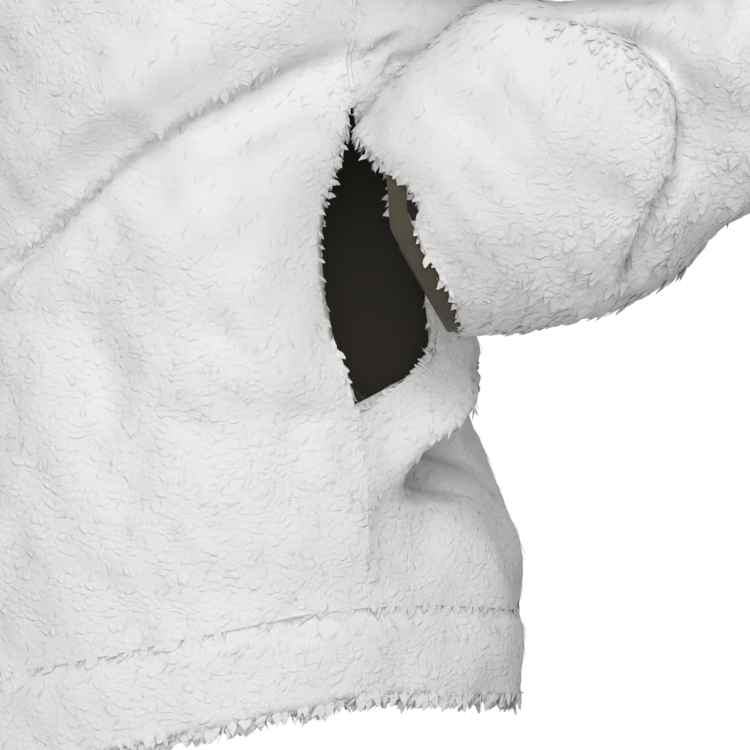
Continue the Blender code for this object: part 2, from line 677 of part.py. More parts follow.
def make_sleeve(name, which, material):
    """A sleeve from the armhole's outline to its cuff. Returns its last outer ring and axis."""
    sleeve = Sleeve(which)
    sizes = SLEEVES[which]
    outline_outer, outline_inner = armhole_outline(which)
    angles = outline_angles(sleeve, outline_outer)
    count = len(angles)
    way = 1.0 if angles[-1] > angles[0] else -1.0
    mean_start = np.mean([angle - way * 360.0 * n / count for n, angle in enumerate(angles)])
    even = [mean_start + way * 360.0 * n / count for n in range(count)]
    start = sleeve.middle(0.0)
    outer = [outline_outer]
    for ring in range(1, sizes["rings"] + 1):
        share = ring / sizes["rings"]
        along = share * sleeve.length
        settled = ease(share / sizes["settle"])
        move = sleeve.middle(along) - start
        row = []
        for n in range(count):
            degrees = angles[n] + (even[n] - angles[n]) * settled
            target = sleeve.point(along, degrees)
            row.append((1.0 - settled) * (outline_outer[n] + move) + settled * target)
        outer.append(row)
    inner = [outline_inner]
    for ring in range(1, len(outer)):
        after = min(ring + 1, len(outer) - 1)
        row = []
        for n in range(count):
            around = outer[ring][(n + 1) % count] - outer[ring][n - 1]
            forward = outer[after][n] - outer[ring - 1][n]
            normal = way * unit(np.cross(around, forward))
            if ring == len(outer) - 1:
                tangent = sleeve.frame(sleeve.length)[0]
                normal = unit(normal - np.dot(normal, tangent) * tangent)
            if np.dot(normal, outer[ring][n] - sleeve.middle(ring / sizes["rings"] * sleeve.length)) < 0:
                normal = -normal
            row.append(outer[ring][n] - CLOTH * normal)
        inner.append(row)
    ring_solid(name, outer + inner[::-1], material, armhole_ring=True)
    return outer[-1], sleeve.frame(sleeve.length)[0]


def make_binding(name, cuff_ring, axis, material):
    """Elastic binding folded over the cuff's raw edge: a short smooth tube past the fleece."""
    middle = np.mean(cuff_ring, axis=0)
    profile = (  # share of the width along the sleeve, depth below the fleece's outer face
        (0.0, BINDING_DEPTH), (0.45, BINDING_DEPTH - BINDING_SWELL), (0.88, BINDING_DEPTH),
        (1.0, BINDING_DEPTH + BINDING_WALL / 2.0),
        (0.88, BINDING_DEPTH + BINDING_WALL), (0.45, BINDING_DEPTH + BINDING_WALL),
        (0.0, BINDING_DEPTH + BINDING_WALL),
    )
    rings = []
    for share, depth in profile:
        along = SEAM_GAP + share * BINDING_WIDTH
        rings.append([point - depth * unit(point - middle) + along * axis for point in cuff_ring])
    return ring_solid(name, rings, material)


# ---------------------------------------------------------------- pocket bags
def bag_point(which, share, turn, inside):
    """A point of a pocket bag. turn 0 lies against the front panel, 180 on the wearer's side.

    inside is 0 on the bag's outer face and 1 on the face that the hand touches.
    """
    opening = pocket(which)
    seam_angle, flip = (0.0, 1.0) if which == "left" else (180.0, -1.0)
    places = table_column(BAG_COLUMNS, BAG_SECTIONS, "share")
    read = {name: smooth_read(places, table_column(BAG_COLUMNS, BAG_SECTIONS, name), share)
            for name in BAG_COLUMNS[1:]}
    toward_front = (1.0 + math.cos(math.radians(turn))) / 2.0
    middle = (opening["top"] + opening["bottom"]) / 2.0 - read["drop"]
    height = middle + (read["half_height"] - inside * POCKET_WALL) * math.sin(math.radians(turn))
    front_edge = -(opening["front_gape"] + BAG_UNDERLAP) - share * BAG_LENGTH
    back_edge = opening["back_gape"] + BAG_UNDERLAP
    back_edge += (front_edge - back_edge) * ease(share / BAG_TURN_BY)
    angle = back_edge + (front_edge - back_edge) * toward_front
    seat = opening["seat"]
    clear = CLOTH + seat + (BAG_FREE - seat) * ease(share / BAG_FREE_BY)
    depth = clear + read["depth_share"] * opening["bag_depth"] * (1.0 - toward_front)
    depth += POCKET_WALL * (inside * toward_front + (1.0 - inside) * (1.0 - toward_front))
    place = seam_angle + flip * angle
    return Body.wall(place, Body.level_at(place, height), depth)[1]


def make_pocket_bag(name, which, material):
    """A bag that hangs from the edges of the side opening, between the front and the wearer."""
    shares = [row[0] for row in BAG_SECTIONS]
    turns = [360.0 * n / BAG_SIDES for n in range(BAG_SIDES)]
    outer = [[bag_point(which, share, turn, 0) for turn in turns] for share in shares]
    inner = []
    for number, share in enumerate(shares):
        back_off = BAG_END_WALL if number == len(shares) - 1 else 0.0
        inner.append([bag_point(which, share - back_off, turn, 1) for turn in turns])
    return capped_cup(name, outer, inner, material)


def main():
    for thing in list(bpy.data.objects):
        bpy.data.objects.remove(thing, do_unlink=True)
    fleece = make_material("sherpa_fleece", (0.86, 0.85, 0.84), 0.95)
    elastic = make_material("olive_binding", (0.09, 0.075, 0.05), 0.75)
    pocketing = make_material("dark_pocketing", (0.035, 0.03, 0.022), 0.85)
    make_panel("front_panel", -1, fleece)
    make_panel("back_panel", 1, fleece)
    make_hem_band("hem_band", fleece)
    make_neckband("neckband", fleece)
    for which in ("left", "right"):
        cuff_ring, axis = make_sleeve(which + "_sleeve", which, fleece)
        make_binding(which + "_cuff_binding", cuff_ring, axis, elastic)
        make_pocket_bag(which + "_pocket_bag", which, pocketing)


main()
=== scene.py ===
"""Dresses the worn sherpa fleece pullover: knit-backed cloth, its curled pile, bound cuffs and pocket bags.

Metres, +Z up, the origin at the base of the neck. The wearer faces -Y, so their left is +X.
"""

import json
import math

import bmesh
import bpy
import numpy as np
from mathutils import Matrix, Vector
from mathutils.bvhtree import BVHTree
from mathutils.kdtree import KDTree

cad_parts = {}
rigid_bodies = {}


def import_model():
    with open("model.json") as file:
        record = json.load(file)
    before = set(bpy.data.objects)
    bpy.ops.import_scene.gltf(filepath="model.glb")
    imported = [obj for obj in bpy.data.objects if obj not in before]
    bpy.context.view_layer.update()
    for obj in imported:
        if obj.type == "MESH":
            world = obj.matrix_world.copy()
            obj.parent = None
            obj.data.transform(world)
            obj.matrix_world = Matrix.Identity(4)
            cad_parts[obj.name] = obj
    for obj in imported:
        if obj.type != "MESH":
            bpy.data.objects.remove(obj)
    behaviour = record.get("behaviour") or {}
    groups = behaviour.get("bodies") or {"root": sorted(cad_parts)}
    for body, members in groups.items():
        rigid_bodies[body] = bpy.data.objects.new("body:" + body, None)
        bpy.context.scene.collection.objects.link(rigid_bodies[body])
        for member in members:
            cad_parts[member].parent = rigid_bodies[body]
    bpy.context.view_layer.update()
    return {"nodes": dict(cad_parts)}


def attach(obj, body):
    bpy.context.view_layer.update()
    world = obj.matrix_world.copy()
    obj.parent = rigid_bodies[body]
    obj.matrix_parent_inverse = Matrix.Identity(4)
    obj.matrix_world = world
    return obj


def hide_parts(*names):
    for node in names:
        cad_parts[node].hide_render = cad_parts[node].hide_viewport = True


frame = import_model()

bl_info = {
    "name": "Sherpa fleece pullover",
    "version": (1, 0, 0),
    "blender": (4, 5, 0),
    "location": "View3D > Sidebar > Pullover",
    "description": "Dresses the pullover's solids in pile fleece, elastic binding and pocketing",
    "category": "Object",
}

# The walls of cloth
WELD = 1e-5                     # vertices closer than this are one
SKIN_ANGLE = math.radians(50)   # a wall's two skins are parted by edges that turn more than this
QUAD_ANGLE = math.radians(40)   # triangles that turn less than this against each other join
SUBDIVISIONS = 2
OUTER, INNER, SEWN, FREE = range(4)     # a wall's faces: its two skins, its sewn edges, its free edges
BODY_PANELS = ("front_panel", "back_panel")
BROAD_LUMPS, FINE_LUMPS = (0.050, 21), (0.022, 22)      # the cloth's unevenness: wavelength and seed
BINDING_UNDER = 0.0012          # a cuff's binding lies this far under the pile

# Seams and free edges
SEWN_WITHIN = 0.0020            # edges of two pieces nearer than this are sewn together
ALL_SEWN_ABOVE = -0.290         # above this height only the neckband has a free edge
SEWN_WITHIN_ABOVE = 0.0030      # and sewn edges may be this far apart
SEAM_CLOSING = 0.0012           # a sewn edge reaches this far past its solid, so that no gap shows
HEM_SEAM_OPEN = 0.7             # but by this share less near the hem band's seam
SEAM_DEPTH = 0.0018             # the hem band is drawn in this far under the pile that hangs over its seam
SEAM_FRINGE = 0.009             # locks hang over that seam from this height above it
HEM_FRINGE = 0.016              # and over the hem's edge from this one
SEAM_LOCKS_LARGER, HEM_LOCKS_LARGER = 0.20, 0.50        # those locks are larger by these shares
TURN_STEP = 2.5                 # degrees between the places where a piece's lower edge is measured
EDGE_REACH = 0.010              # nearer to a free edge than this the pile is combed out over it
EDGE_PULL = 2.0                 # on the edge that counts this much against its own way
EDGE_GAIN = 1.8                 # and tufts take over so many times as fast

# Where locks stand, by shares of the places: a wisp where no tufts stand out, and a tuft where they do.
# At free edges and on some creases up to every place carries one.
THINNEST, MIDDLING = 0.18, 0.50
OUTER_FROM, OUTER_GROWS = 0.30, 0.15    # from this far out a wall carries locks, and within this more all
INNER_FULLNESS = 0.35           # a folded band's inner face has this share of the outer one's locks
BARE_FACING, BARE_FADES = -0.92, 0.30   # a fold that faces further down than this is bare
LOWEST_FACING = 0.25            # locks that hang from a fold are shaded as facing out, not down
LOCK_TILT, LOCK_TURN = 0.12, 0.45       # a lock strays this far from its way (radians)
SMALLEST_LOCK, LARGEST_LOCK = 0.72, 1.20
CREASE_LOCKS_SMALLER = 0.25     # on creases and free edges locks are smaller by up to this share
FRINGE_TUFTS = 0.9              # the share of tufts in the fringes of the hem
LEAST_HEIGHT, TUFT_HEIGHT = 0.6, 0.6    # how high wisps stand, and how much higher tufts do
CROWDING = 4.0                  # for each place this many locks are tried
CLOTH_ATTRIBUTES = ("nap", "fullness", "outer", "size", "height", "tufted")

# The underside of a forearm, where larger tufts stand out: the degrees round it where it begins and ends
# and those it takes to do so, and how far from the cuff it reaches and fades.
UNDERSIDE_FROM, UNDERSIDE_GROWS, UNDERSIDE_TO, UNDERSIDE_FADES = 10.0, 60.0, 140.0, 40.0
UNDERSIDE_LENGTH, UNDERSIDE_END = 0.240, 0.060
UNDERSIDE_TUFTS, UNDERSIDE_LARGER = 0.80, 0.30

# A forearm's side towards the inside of the elbow begins at these degrees. From there its flat pile fades
# outwards, and its binding is tucked in further inwards, each over so many degrees.
INWARD_FROM = -10.0
CALM_FADES, TUCK_GROWS = 50.0, 45.0

# How flat the pile lies, from 0 to 1: in patches (wavelength and seed), on a forearm towards the inside of
# the elbow, and where the body is brushed smooth, by degrees round it, height and reach.
CALM_PATCHES, CALM_FOREARM, CALM_BODY = 0.5, 0.65, 0.8
PATCH_NOISE = (0.150, 31)
SMOOTH_PLACES = ((-15, -0.385, 0.034), (-24, -0.330, 0.026), (2, -0.290, 0.030), (-10, -0.350, 0.026))

# The way the pile lies: shares of down and along on a sleeve, of frontwards on the body's sides (down
# counts 1 there) and of swirls (wavelength and seed of each), and how far from the elbow or from the
# body's middle it takes to turn from one to the other.
SLEEVE_DOWN, SLEEVE_ALONG, SIDES_FRONT, SWIRL = 0.75, 0.60, 0.38, 0.30
SWIRLS = ((0.045, 11), (0.045, 12), (0.045, 13))
ELBOW_TURN, SIDES_TURN = 0.12, 0.12

# Middle lines of the sleeves from shoulder over elbow to cuff: the pile is combed along them.
SLEEVE_LINES = {
    "left_sleeve": ((0.237, 0.004, -0.165), (0.352, 0.165, -0.265), (0.260, 0.009, -0.404)),
    "right_sleeve": ((-0.237, 0.004, -0.165), (-0.338, 0.010, -0.400), (-0.322, -0.060, -0.600)),
}

# Each cloth piece: its flat cut (width, length and net area), how its pile is combed, the least
# distance between two locks, the locks' size, how high they stand for it, the share of the cloth's own
# direction in their shading, whether the piece is folded double, with pile on both faces, and the share
# of its free edges' places that carry a lock.
CLOTH_COLUMNS = ("node", "flat_width", "flat_length", "flat_area", "combed", "spacing", "size", "height",
                 "softness", "folded", "edge_fullness")
CLOTH_PIECES = (
    ("front_panel", 0.640, 0.640, 0.370, "body", 0.0023, 0.90, 0.45, 0.78, False, 0.6),
    ("back_panel", 0.640, 0.650, 0.380, "body", 0.0023, 0.90, 0.45, 0.78, False, 0.6),
    ("hem_band", 1.300, 0.052, 0.0665, "body", 0.0018, 0.90, 0.50, 0.78, True, 0.0),
    ("neckband", 0.560, 0.042, 0.0225, "body", 0.0027, 1.00, 0.60, 0.70, True, 0.0),
    ("left_sleeve", 0.480, 0.520, 0.215, "sleeve", 0.0023, 0.90, 0.34, 0.86, False, 0.0),
    ("right_sleeve", 0.480, 0.520, 0.200, "sleeve", 0.0023, 0.90, 0.34, 0.86, False, 0.0),
)

# Radii that turn degrees round the body or a sleeve into metres
MEAN_RADIUS = 0.190
SLEEVE_RADIUS = 0.070

# Creases that are finer than the solids' folds: how far each stands out (in is negative), how far it
# leans to the right of its line's own way, how thick tufts stand on it, its half width, and its line by
# (degrees round the piece, height on the body or distance from the cuff on a forearm). On a forearm
# 0 degrees faces away from the body and -90 is the inside of the elbow.
CREASE_COLUMNS = ("name", "stands_out", "leans", "tufts", "half_width", "corners")
BODY_CREASES = (
    ("front groove", -0.0060, 0.0, 0.0, 0.0055,
     ((-56, -0.440), (-44, -0.417), (-34, -0.388), (-25, -0.364), (-16, -0.342), (-4, -0.324),
      (6, -0.317))),
    ("groove's upper lip", 0.0022, 0.0025, 0.9, 0.0060,
     ((-52, -0.426), (-42, -0.404), (-33, -0.378), (-24, -0.354), (-15, -0.333), (-4, -0.316))),
    ("front rim", 0.0030, 0.0, 0.0, 0.0100,
     ((-50, -0.445), (-42, -0.430), (-32, -0.403), (-22, -0.376), (-10, -0.350), (2, -0.334))),
    ("front ridge", 0.0040, 0.0, 0.0, 0.0140,
     ((-58, -0.400), (-48, -0.380), (-38, -0.361), (-26, -0.327), (-14, -0.305), (-4, -0.292))),
    ("front valley", -0.0030, 0.0, 0.0, 0.0120,
     ((-33, -0.440), (-31, -0.465), (-30, -0.500), (-28, -0.540))),
    ("pocket outline", -0.0022, 0.0, 0.0, 0.0080,
     ((-19, -0.434), (-16, -0.468), (-9, -0.490), (-2, -0.492))),
    ("side against the sleeve", 0.0180, 0.0, 0.0, 0.0240,
     ((24, -0.270), (16, -0.288), (10, -0.304), (6, -0.334))),
    ("fringe by the sleeve", 0.0, 0.0, 0.9, 0.0090,
     ((22, -0.290), (14, -0.305), (8, -0.322), (4, -0.336))),
    ("dimple above the opening", -0.0090, 0.0, 0.3, 0.0050,
     ((3, -0.312), (5, -0.318), (6, -0.326))),
    ("side behind the roll", -0.0080, 0.0, 0.0, 0.0130,
     ((44, -0.462), (34, -0.468), (26, -0.475), (20, -0.481))),
    ("fold beside the hem", 0.0060, 0.0, 0.0, 0.0180,
     ((17, -0.528), (18, -0.545), (19, -0.565), (21, -0.585), (24, -0.605), (25, -0.630), (25, -0.670))),
    ("pile over the side seam", 0.0, 0.0, 0.9, 0.0060,
     ((1, -0.488), (1, -0.510), (1, -0.540), (1, -0.575))),
    ("pile above the opening", 0.0, 0.0, 0.9, 0.0060,
     ((1, -0.345), (1, -0.330), (1, -0.310), (1, -0.280))),
    ("roll behind the pocket", 0.0080, -0.0030, 0.7, 0.0085,
     ((21, -0.473), (17, -0.478), (14, -0.484), (11, -0.491), (8, -0.503), (6, -0.516), (6, -0.528))),
    ("hollow under the roll", -0.0480, 0.0, 0.4, 0.0180,
     ((30, -0.496), (26, -0.503), (22, -0.511), (18, -0.520), (16, -0.530), (16, -0.537))),
    ("step under the roll", -0.0100, 0.0, 0.0, 0.0060,
     ((26, -0.484), (18, -0.490), (13, -0.500), (10, -0.512), (10, -0.524), (12, -0.534))),
)
LEFT_FOREARM_CREASES = (
    ("elbow overlap", -0.0160, 0.0, 0.0, 0.0075,
     ((-62, 0.120), (-34, 0.130), (-3, 0.138), (17, 0.141), (31, 0.141), (46, 0.131), (52, 0.115),
      (56, 0.098), (66, 0.084), (82, 0.071))),
    ("lip of the overlap", 0.0060, -0.0070, 0.9, 0.0080,
     ((-60, 0.108), (-34, 0.118), (-3, 0.126), (15, 0.129), (26, 0.128), (37, 0.120), (42, 0.108),
      (46, 0.093), (55, 0.078), (70, 0.064))),
    ("second fold", 0.0045, 0.0, 0.0, 0.0100,
     ((-40, 0.155), (-4, 0.177), (24, 0.170), (46, 0.142))),
    ("dent over the wrist", -0.0025, 0.0, 0.0, 0.0100,
     ((-48, 0.040), (-26, 0.058), (-4, 0.066))),
    ("edge drawn back", 0.0, -0.0090, 0.9, 0.0110,
     ((-150, 0.000), (-120, 0.000), (-90, 0.000), (-60, 0.000), (-20, 0.000), (10, 0.000))),
    ("edge over the binding", 0.0010, -0.0020, 0.9, 0.0080,
     ((-36, 0.000), (0, 0.000), (40, 0.000), (84, 0.000))),
    ("fringe by the side", 0.0, 0.0, 0.9, 0.0120,
     ((-76, 0.020), (-78, 0.060), (-80, 0.100), (-82, 0.140))),
)
RIGHT_FOREARM_CREASES = (
    ("wrist crease", -0.0040, 0.0, 0.0, 0.0060,
     ((-80, 0.034), (-30, 0.046), (20, 0.050), (70, 0.040))),
    ("lip of the wrist crease", 0.0025, -0.0020, 0.5, 0.0070,
     ((-70, 0.026), (-30, 0.037), (20, 0.041), (60, 0.033))),
    ("forearm crease", -0.0040, 0.0, 0.0, 0.0070,
     ((-60, 0.104), (-10, 0.116), (40, 0.112), (90, 0.092))),
    ("forearm ridge", 0.0030, -0.0020, 0.4, 0.0090,
     ((-50, 0.090), (0, 0.101), (50, 0.096))),
)
FOREARM_CREASES = {"left_sleeve": LEFT_FOREARM_CREASES, "right_sleeve": RIGHT_FOREARM_CREASES}
CREASE_REACH = 3.0              # a crease is felt within this many half widths of its line
REFINED_WITHIN = 2.6            # and the cloth is twice as fine within these
PATH_POINTS = 48                # points on a crease's line

# How uneven a crease is: the share of its length over which it fades at each end, and how far it has come
# at the very end; then for its width and its depth the share by which it varies and its waves in radians.
CREASE_FADE, CREASE_END = 0.25, 0.10
WIDTH_SWAY, WIDTH_WAVES = 0.25, 6.0
DEPTH_SWAY, DEPTH_WAVES = 0.35, 9.0

# Plain pieces: the flat cut (width, length and net area) of what shows, the sleeve a binding closes, and
# how far the binding is tucked into it all round and further inside the elbow.
PLAIN_COLUMNS = ("node", "flat_width", "flat_length", "flat_area", "sleeve", "tucked", "tucked_inside")
BINDINGS = (
    ("left_cuff_binding", 0.280, 0.0105, 0.0029, "left_sleeve", 0.0045, 0.0120),
    ("right_cuff_binding", 0.280, 0.0105, 0.0029, "right_sleeve", 0.0020, 0.0),
)
POCKET_BAGS = (
    ("left_pocket_bag", 0.360, 0.190, 0.064, None, 0.0, 0.0),
    ("right_pocket_bag", 0.340, 0.170, 0.052, None, 0.0, 0.0),
)

# Locks of pile. For the root, the broadest place and the tip: half of the width and the height of the
# middle as shares of the settings, and how near the middle is to the rim (1 is on it). Then how far the
# tip bends aside and how far its middle stands past its corners, as shares of the length. Wisps are thin
# strands that lie on the clumps, tufts are broad and end in a tip that stands clear of the cloth. Each
# kind has its places as shares of the length and the height of its sides there.
LOCK_COLUMNS = ("name", "half_widths", "middles", "rims", "bend", "point")
WISPS = (
    ("bent", (0.05, 0.10, 0.03), (0.0, 0.45, 0.40), (0.5, 0.0, 0.3), 0.30, 0.06),
    ("straight", (0.06, 0.12, 0.04), (0.0, 0.40, 0.45), (0.5, 0.0, 0.3), 0.05, 0.10),
    ("turned", (0.05, 0.09, 0.03), (0.0, 0.50, 0.30), (0.5, 0.0, 0.3), -0.36, 0.06),
)
TUFTS = (
    ("hooked", (0.30, 0.54, 0.20), (-0.30, 1.35, 0.90), (1.0, 0.0, 0.7), 0.26, 0.12),
    ("petal", (0.30, 0.62, 0.32), (-0.30, 1.30, 0.95), (1.0, 0.0, 0.7), 0.04, 0.14),
    ("pointed", (0.30, 0.54, 0.12), (-0.30, 1.25, 0.90), (1.0, 0.0, 0.8), -0.08, 0.16),
    ("slim", (0.14, 0.26, 0.06), (-0.20, 1.15, 1.00), (1.0, 0.0, 0.8), 0.16, 0.20),
    ("swept", (0.30, 0.56, 0.18), (-0.30, 1.30, 0.92), (1.0, 0.0, 0.7), -0.28, 0.14),
)
KIND_COLUMNS = ("name", "shares", "sides", "locks")
LOCK_KINDS = (
    ("a_wisp", (0.0, 0.55, 1.0), (-0.30, 0.05, 0.10), WISPS),
    ("tuft", (0.0, 0.60, 1.0), (-0.60, -0.05, 0.40), TUFTS),
)

# The materials: how much they reflect, how rough their sheen is, the scales of their grain (details per
# metre), and the strength and depth of the plain ones' grain.
SPECULAR, SHEEN_ROUGHNESS = 0.15, 0.6
SWAY_SCALE, FRAY_SCALE, FIBRE_SCALE = 75.0, 420.0, 1100.0
WALE_SCALE, BINDING_SCALE, POCKETING_SCALE, MOTTLE_SCALE = 620.0, 1500.0, 1300.0, 140.0
WALE_RANDOMNESS = 0.35
WALE_BUMP, BINDING_BUMP, POCKETING_BUMP = (0.5, 0.0006), (0.5, 0.0005), (0.4, 0.0005)
CLUMP_STRETCH = (1.0, 1.0, 1.35)        # clumps of pile are wider than high
FIBRE_STRETCH = (1.0, 1.0, 0.35)        # its fibres are longer than wide
FURROW_WIDTH, DOME_WIDTH = 0.13, 0.30   # a furrow's and a clump's rounded edge, as shares of a clump
LOWER_FROM, LOWER_TO = -0.2, 0.5        # so far below its middle, in widths, a clump's lower part sets in
LEAST_CLUMP, LEAST_LIFT = 0.25, 0.35    # the height of the lowest clump, and of any clump's upper part
# A lock's darkening towards its rim is painted shade.
RIM_FROM = 0.35                         # a lock darkens from here to its rim, which is 1
FIBRE_HEIGHT = 0.35                     # a fibre's height as a share of a clump's
MOTTLE = 0.18                           # the binding is this much darker and lighter in patches

# The stage: the ways towards the soft lights, and the camera's, far off with a long lens
FLOOR_RADIUS, FLOOR_SEGMENTS = 3.2, 96
FLOOR_COLOUR = (0.50, 0.50, 0.50)
LAMP_COLOUR = (1.0, 0.995, 0.99)
LAMPS = {"key": (0.632, -0.395, 0.667), "fill": (0.845, -0.528, 0.087), "back": (-0.680, 0.420, 0.600)}
CAMERA_AIM = (0.2737, -0.0179, -0.4667)
CAMERA_BACK = (0.8448, -0.5279, 0.0872)
CAMERA_DISTANCE = 2.6
SENSOR_WIDTH = 36.0             # millimetres


# ---------------------------------------------------------------- settings
class FleeceSettings(bpy.types.PropertyGroup):
    """Sizes and colour of the pile."""

    lock_length: bpy.props.FloatProperty(
        name="Lock length", description="Length of one lock of pile", default=0.0076, unit="LENGTH")
    lock_width: bpy.props.FloatProperty(
        name="Lock width", description="Twice the width of one tuft of pile", default=0.0084, unit="LENGTH")
    lock_height: bpy.props.FloatProperty(
        name="Lock height", description="How high a lock's middle stands", default=0.0017, unit="LENGTH")
    pile_depth: bpy.props.FloatProperty(
        name="Pile depth", description="How far the backing lies below the pile's tips", default=0.0012,
        unit="LENGTH")
    lump_height: bpy.props.FloatProperty(
        name="Lump height", description="Unevenness of the cloth", default=0.0011, unit="LENGTH")
    colour: bpy.props.FloatVectorProperty(
        name="Colour", description="Colour of the pile", default=(0.785, 0.78, 0.775), size=3,
        subtype="COLOR")
    # Painted shade: a lock's rim is darkened in its colour, standing in for the shade where it meets the
    # cloth.
    painted_rim_shade: bpy.props.FloatProperty(
        name="Rim shade", description="How much darker a lock's rim is than its middle", default=0.04)
    clump_width: bpy.props.FloatProperty(
        name="Clump width", description="Width of the clumps of pile", default=0.0052, unit="LENGTH")
    clump_height: bpy.props.FloatProperty(
        name="Clump height", description="Depth of the furrows between the clumps", default=0.00048,
        unit="LENGTH")
    furrow_sway: bpy.props.FloatProperty(
        name="Furrow sway", description="How far the furrows wave", default=0.0090, unit="LENGTH")
    furrow_fray: bpy.props.FloatProperty(
        name="Furrow fray", description="How jagged the furrows are", default=0.0018, unit="LENGTH")
    # Painted shadow: the furrows under the clumps' lower edges are darkened in the colour, standing in for
    # the shadow the clumps cast.
    painted_furrow_shadow: bpy.props.FloatProperty(
        name="Furrow shade", description="How much darker the furrows are", default=0.10)
    backing_colour: bpy.props.FloatVectorProperty(
        name="Backing colour", description="Colour of the knit backing", default=(0.74, 0.73, 0.72), size=3,
        subtype="COLOR")


class TrimSettings(bpy.types.PropertyGroup):
    """Colours of the elastic binding and the pocketing."""

    binding_colour: bpy.props.FloatVectorProperty(
        name="Binding colour", description="Colour of the cuff binding", default=(0.072, 0.061, 0.042),
        size=3, subtype="COLOR")
    pocketing_colour: bpy.props.FloatVectorProperty(
        name="Pocketing colour", description="Colour of the pocket bags", default=(0.030, 0.026, 0.019),
        size=3, subtype="COLOR")


class StageSettings(bpy.types.PropertyGroup):
    """Floor, light and camera."""

    floor_drop: bpy.props.FloatProperty(
        name="Floor drop", description="Height of the floor below the neck", default=1.35, unit="LENGTH")
    surround: bpy.props.FloatProperty(
        name="Surround", description="Strength of the light from all sides", default=0.19)
    backdrop: bpy.props.FloatProperty(
        name="Backdrop", description="How bright the surround looks", default=1.0)
    key_strength: bpy.props.FloatProperty(
        name="Key strength", description="Strength of the soft main light from above", default=1.45)
    fill_strength: bpy.props.FloatProperty(
        name="Fill strength", description="Strength of the soft light by the camera", default=1.40)
    back_strength: bpy.props.FloatProperty(
        name="Back strength", description="Strength of the soft light from behind", default=1.00)
    lamp_spread: bpy.props.FloatProperty(
        name="Lamp spread", description="Angle that each light covers", default=math.radians(55),
        subtype="ANGLE")
    focal_length: bpy.props.FloatProperty(
        name="Focal length", description="Camera's focal length in millimetres", default=268.3)


# ---------------------------------------------------------------- small tools
def unit_rows(vectors):
    return vectors / np.maximum(np.linalg.norm(vectors, axis=1, keepdims=True), 1e-12)


def smooth_step(values):
    part = np.clip(values, 0.0, 1.0)
    return part * part * (3.0 - 2.0 * part)


def soft_noise(points, wavelength, seed, waves=28):
    """Smooth noise of about unit height from a sum of waves in fixed random directions."""
    chance = np.random.default_rng(seed)
    ways = unit_rows(chance.normal(size=(waves, 3)))
    lengths = wavelength * chance.uniform(0.7, 1.5, size=waves)
    phases = chance.uniform(0.0, 2.0 * math.pi, size=waves)
    sums = np.sin(points @ (ways * (2.0 * math.pi / lengths[:, None])).T + phases).sum(axis=1)
    return sums / math.sqrt(waves / 2.0) * 0.7


def along_surface(ways, normals):
    """The ways turned into the surface that has these normals."""
    return unit_rows(ways - (ways * normals).sum(axis=1, keepdims=True) * normals)


def named_rows(columns, rows):
    """A table's rows, each with its values by the columns' names."""
    return [dict(zip(columns, row)) for row in rows]


def vertex_arrays(mesh):
    """The points of a mesh and the way it looks at each."""
    arrays = [np.zeros(len(mesh.vertices) * 3, np.float32) for _ in range(2)]
    mesh.vertices.foreach_get("co", arrays[0])
    mesh.vertex_normals.foreach_get("vector", arrays[1])
    return [array.reshape(-1, 3).astype(float) for array in arrays]


def put_points(mesh, points):
    mesh.vertices.foreach_set("co", points.astype(np.float32).ravel())
    mesh.update()


def read_values(mesh, name, key="value", size=1):
    values = np.zeros(len(mesh.vertices) * size, np.float32)
    mesh.attributes[name].data.foreach_get(key, values)
    return values.reshape(-1, size).astype(float) if size > 1 else values.astype(float)


def write_values(mesh, name, values, domain="POINT"):
    """Stores a number, or a vector, for each point or face."""
    kind, key = ("FLOAT_VECTOR", "vector") if values.ndim == 2 else ("FLOAT", "value")
    attribute = mesh.attributes.get(name) or mesh.attributes.new(name, kind, domain)
    attribute.data.foreach_set(key, values.astype(np.float32).ravel())


def drop_attributes(mesh, names):
    for name in names:
        if mesh.attributes.get(name):
            mesh.attributes.remove(mesh.attributes[name])


def add_object(name, mesh):
    mesh.name = name
    thing = bpy.data.objects.new(name, mesh)
    bpy.context.scene.collection.objects.link(thing)
    return thing


def inner_faces(bm):
    """Faces of a closed wall's inner skin: of the smooth runs of faces, the largest that looks inwards."""
    seen, best, best_area = set(), [], 0.0
    for first in bm.faces:
        if first in seen:
            continue
        seen.add(first)
        run, waiting = [], [first]
        while waiting:
            face = waiting.pop()
            run.append(face)
            for edge in face.edges:
                if len(edge.link_faces) != 2 or edge.calc_face_angle(math.pi) > SKIN_ANGLE:
                    continue
                for other in edge.link_faces:
                    if other not in seen:
                        seen.add(other)
                        waiting.append(other)
        area = sum(face.calc_area() for face in run)
        middle = sum((face.calc_center_median() * face.calc_area() for face in run), Vector()) / area
        flux = sum((face.calc_center_median() - middle).dot(face.normal) * face.calc_area() for face in run)
        if flux < 0.0 and area > best_area:
            best, best_area = run, area
    return set(best)


def cloth_surfaces():
    """The cloth pieces' surfaces by name, to find the edges sewn together."""
    surfaces = {}
    for row in named_rows(CLOTH_COLUMNS, CLOTH_PIECES):
        mesh = frame["nodes"][row["node"]].data
        points = [vertex.co for vertex in mesh.vertices]
        surfaces[row["node"]] = BVHTree.FromPolygons(points, [face.vertices for face in mesh.polygons])
    return surfaces


def sewn_vertices(bm, others):
    """The vertices that lie on the surface of another piece, which they are sewn to."""
    found = set()
    for vertex in bm.verts:
        reach = SEWN_WITHIN_ABOVE if vertex.co.z > ALL_SEWN_ABOVE else SEWN_WITHIN
        if any(surface.find_nearest(vertex.co, reach)[0] is not None for surface in others):
            found.add(vertex)
    return found


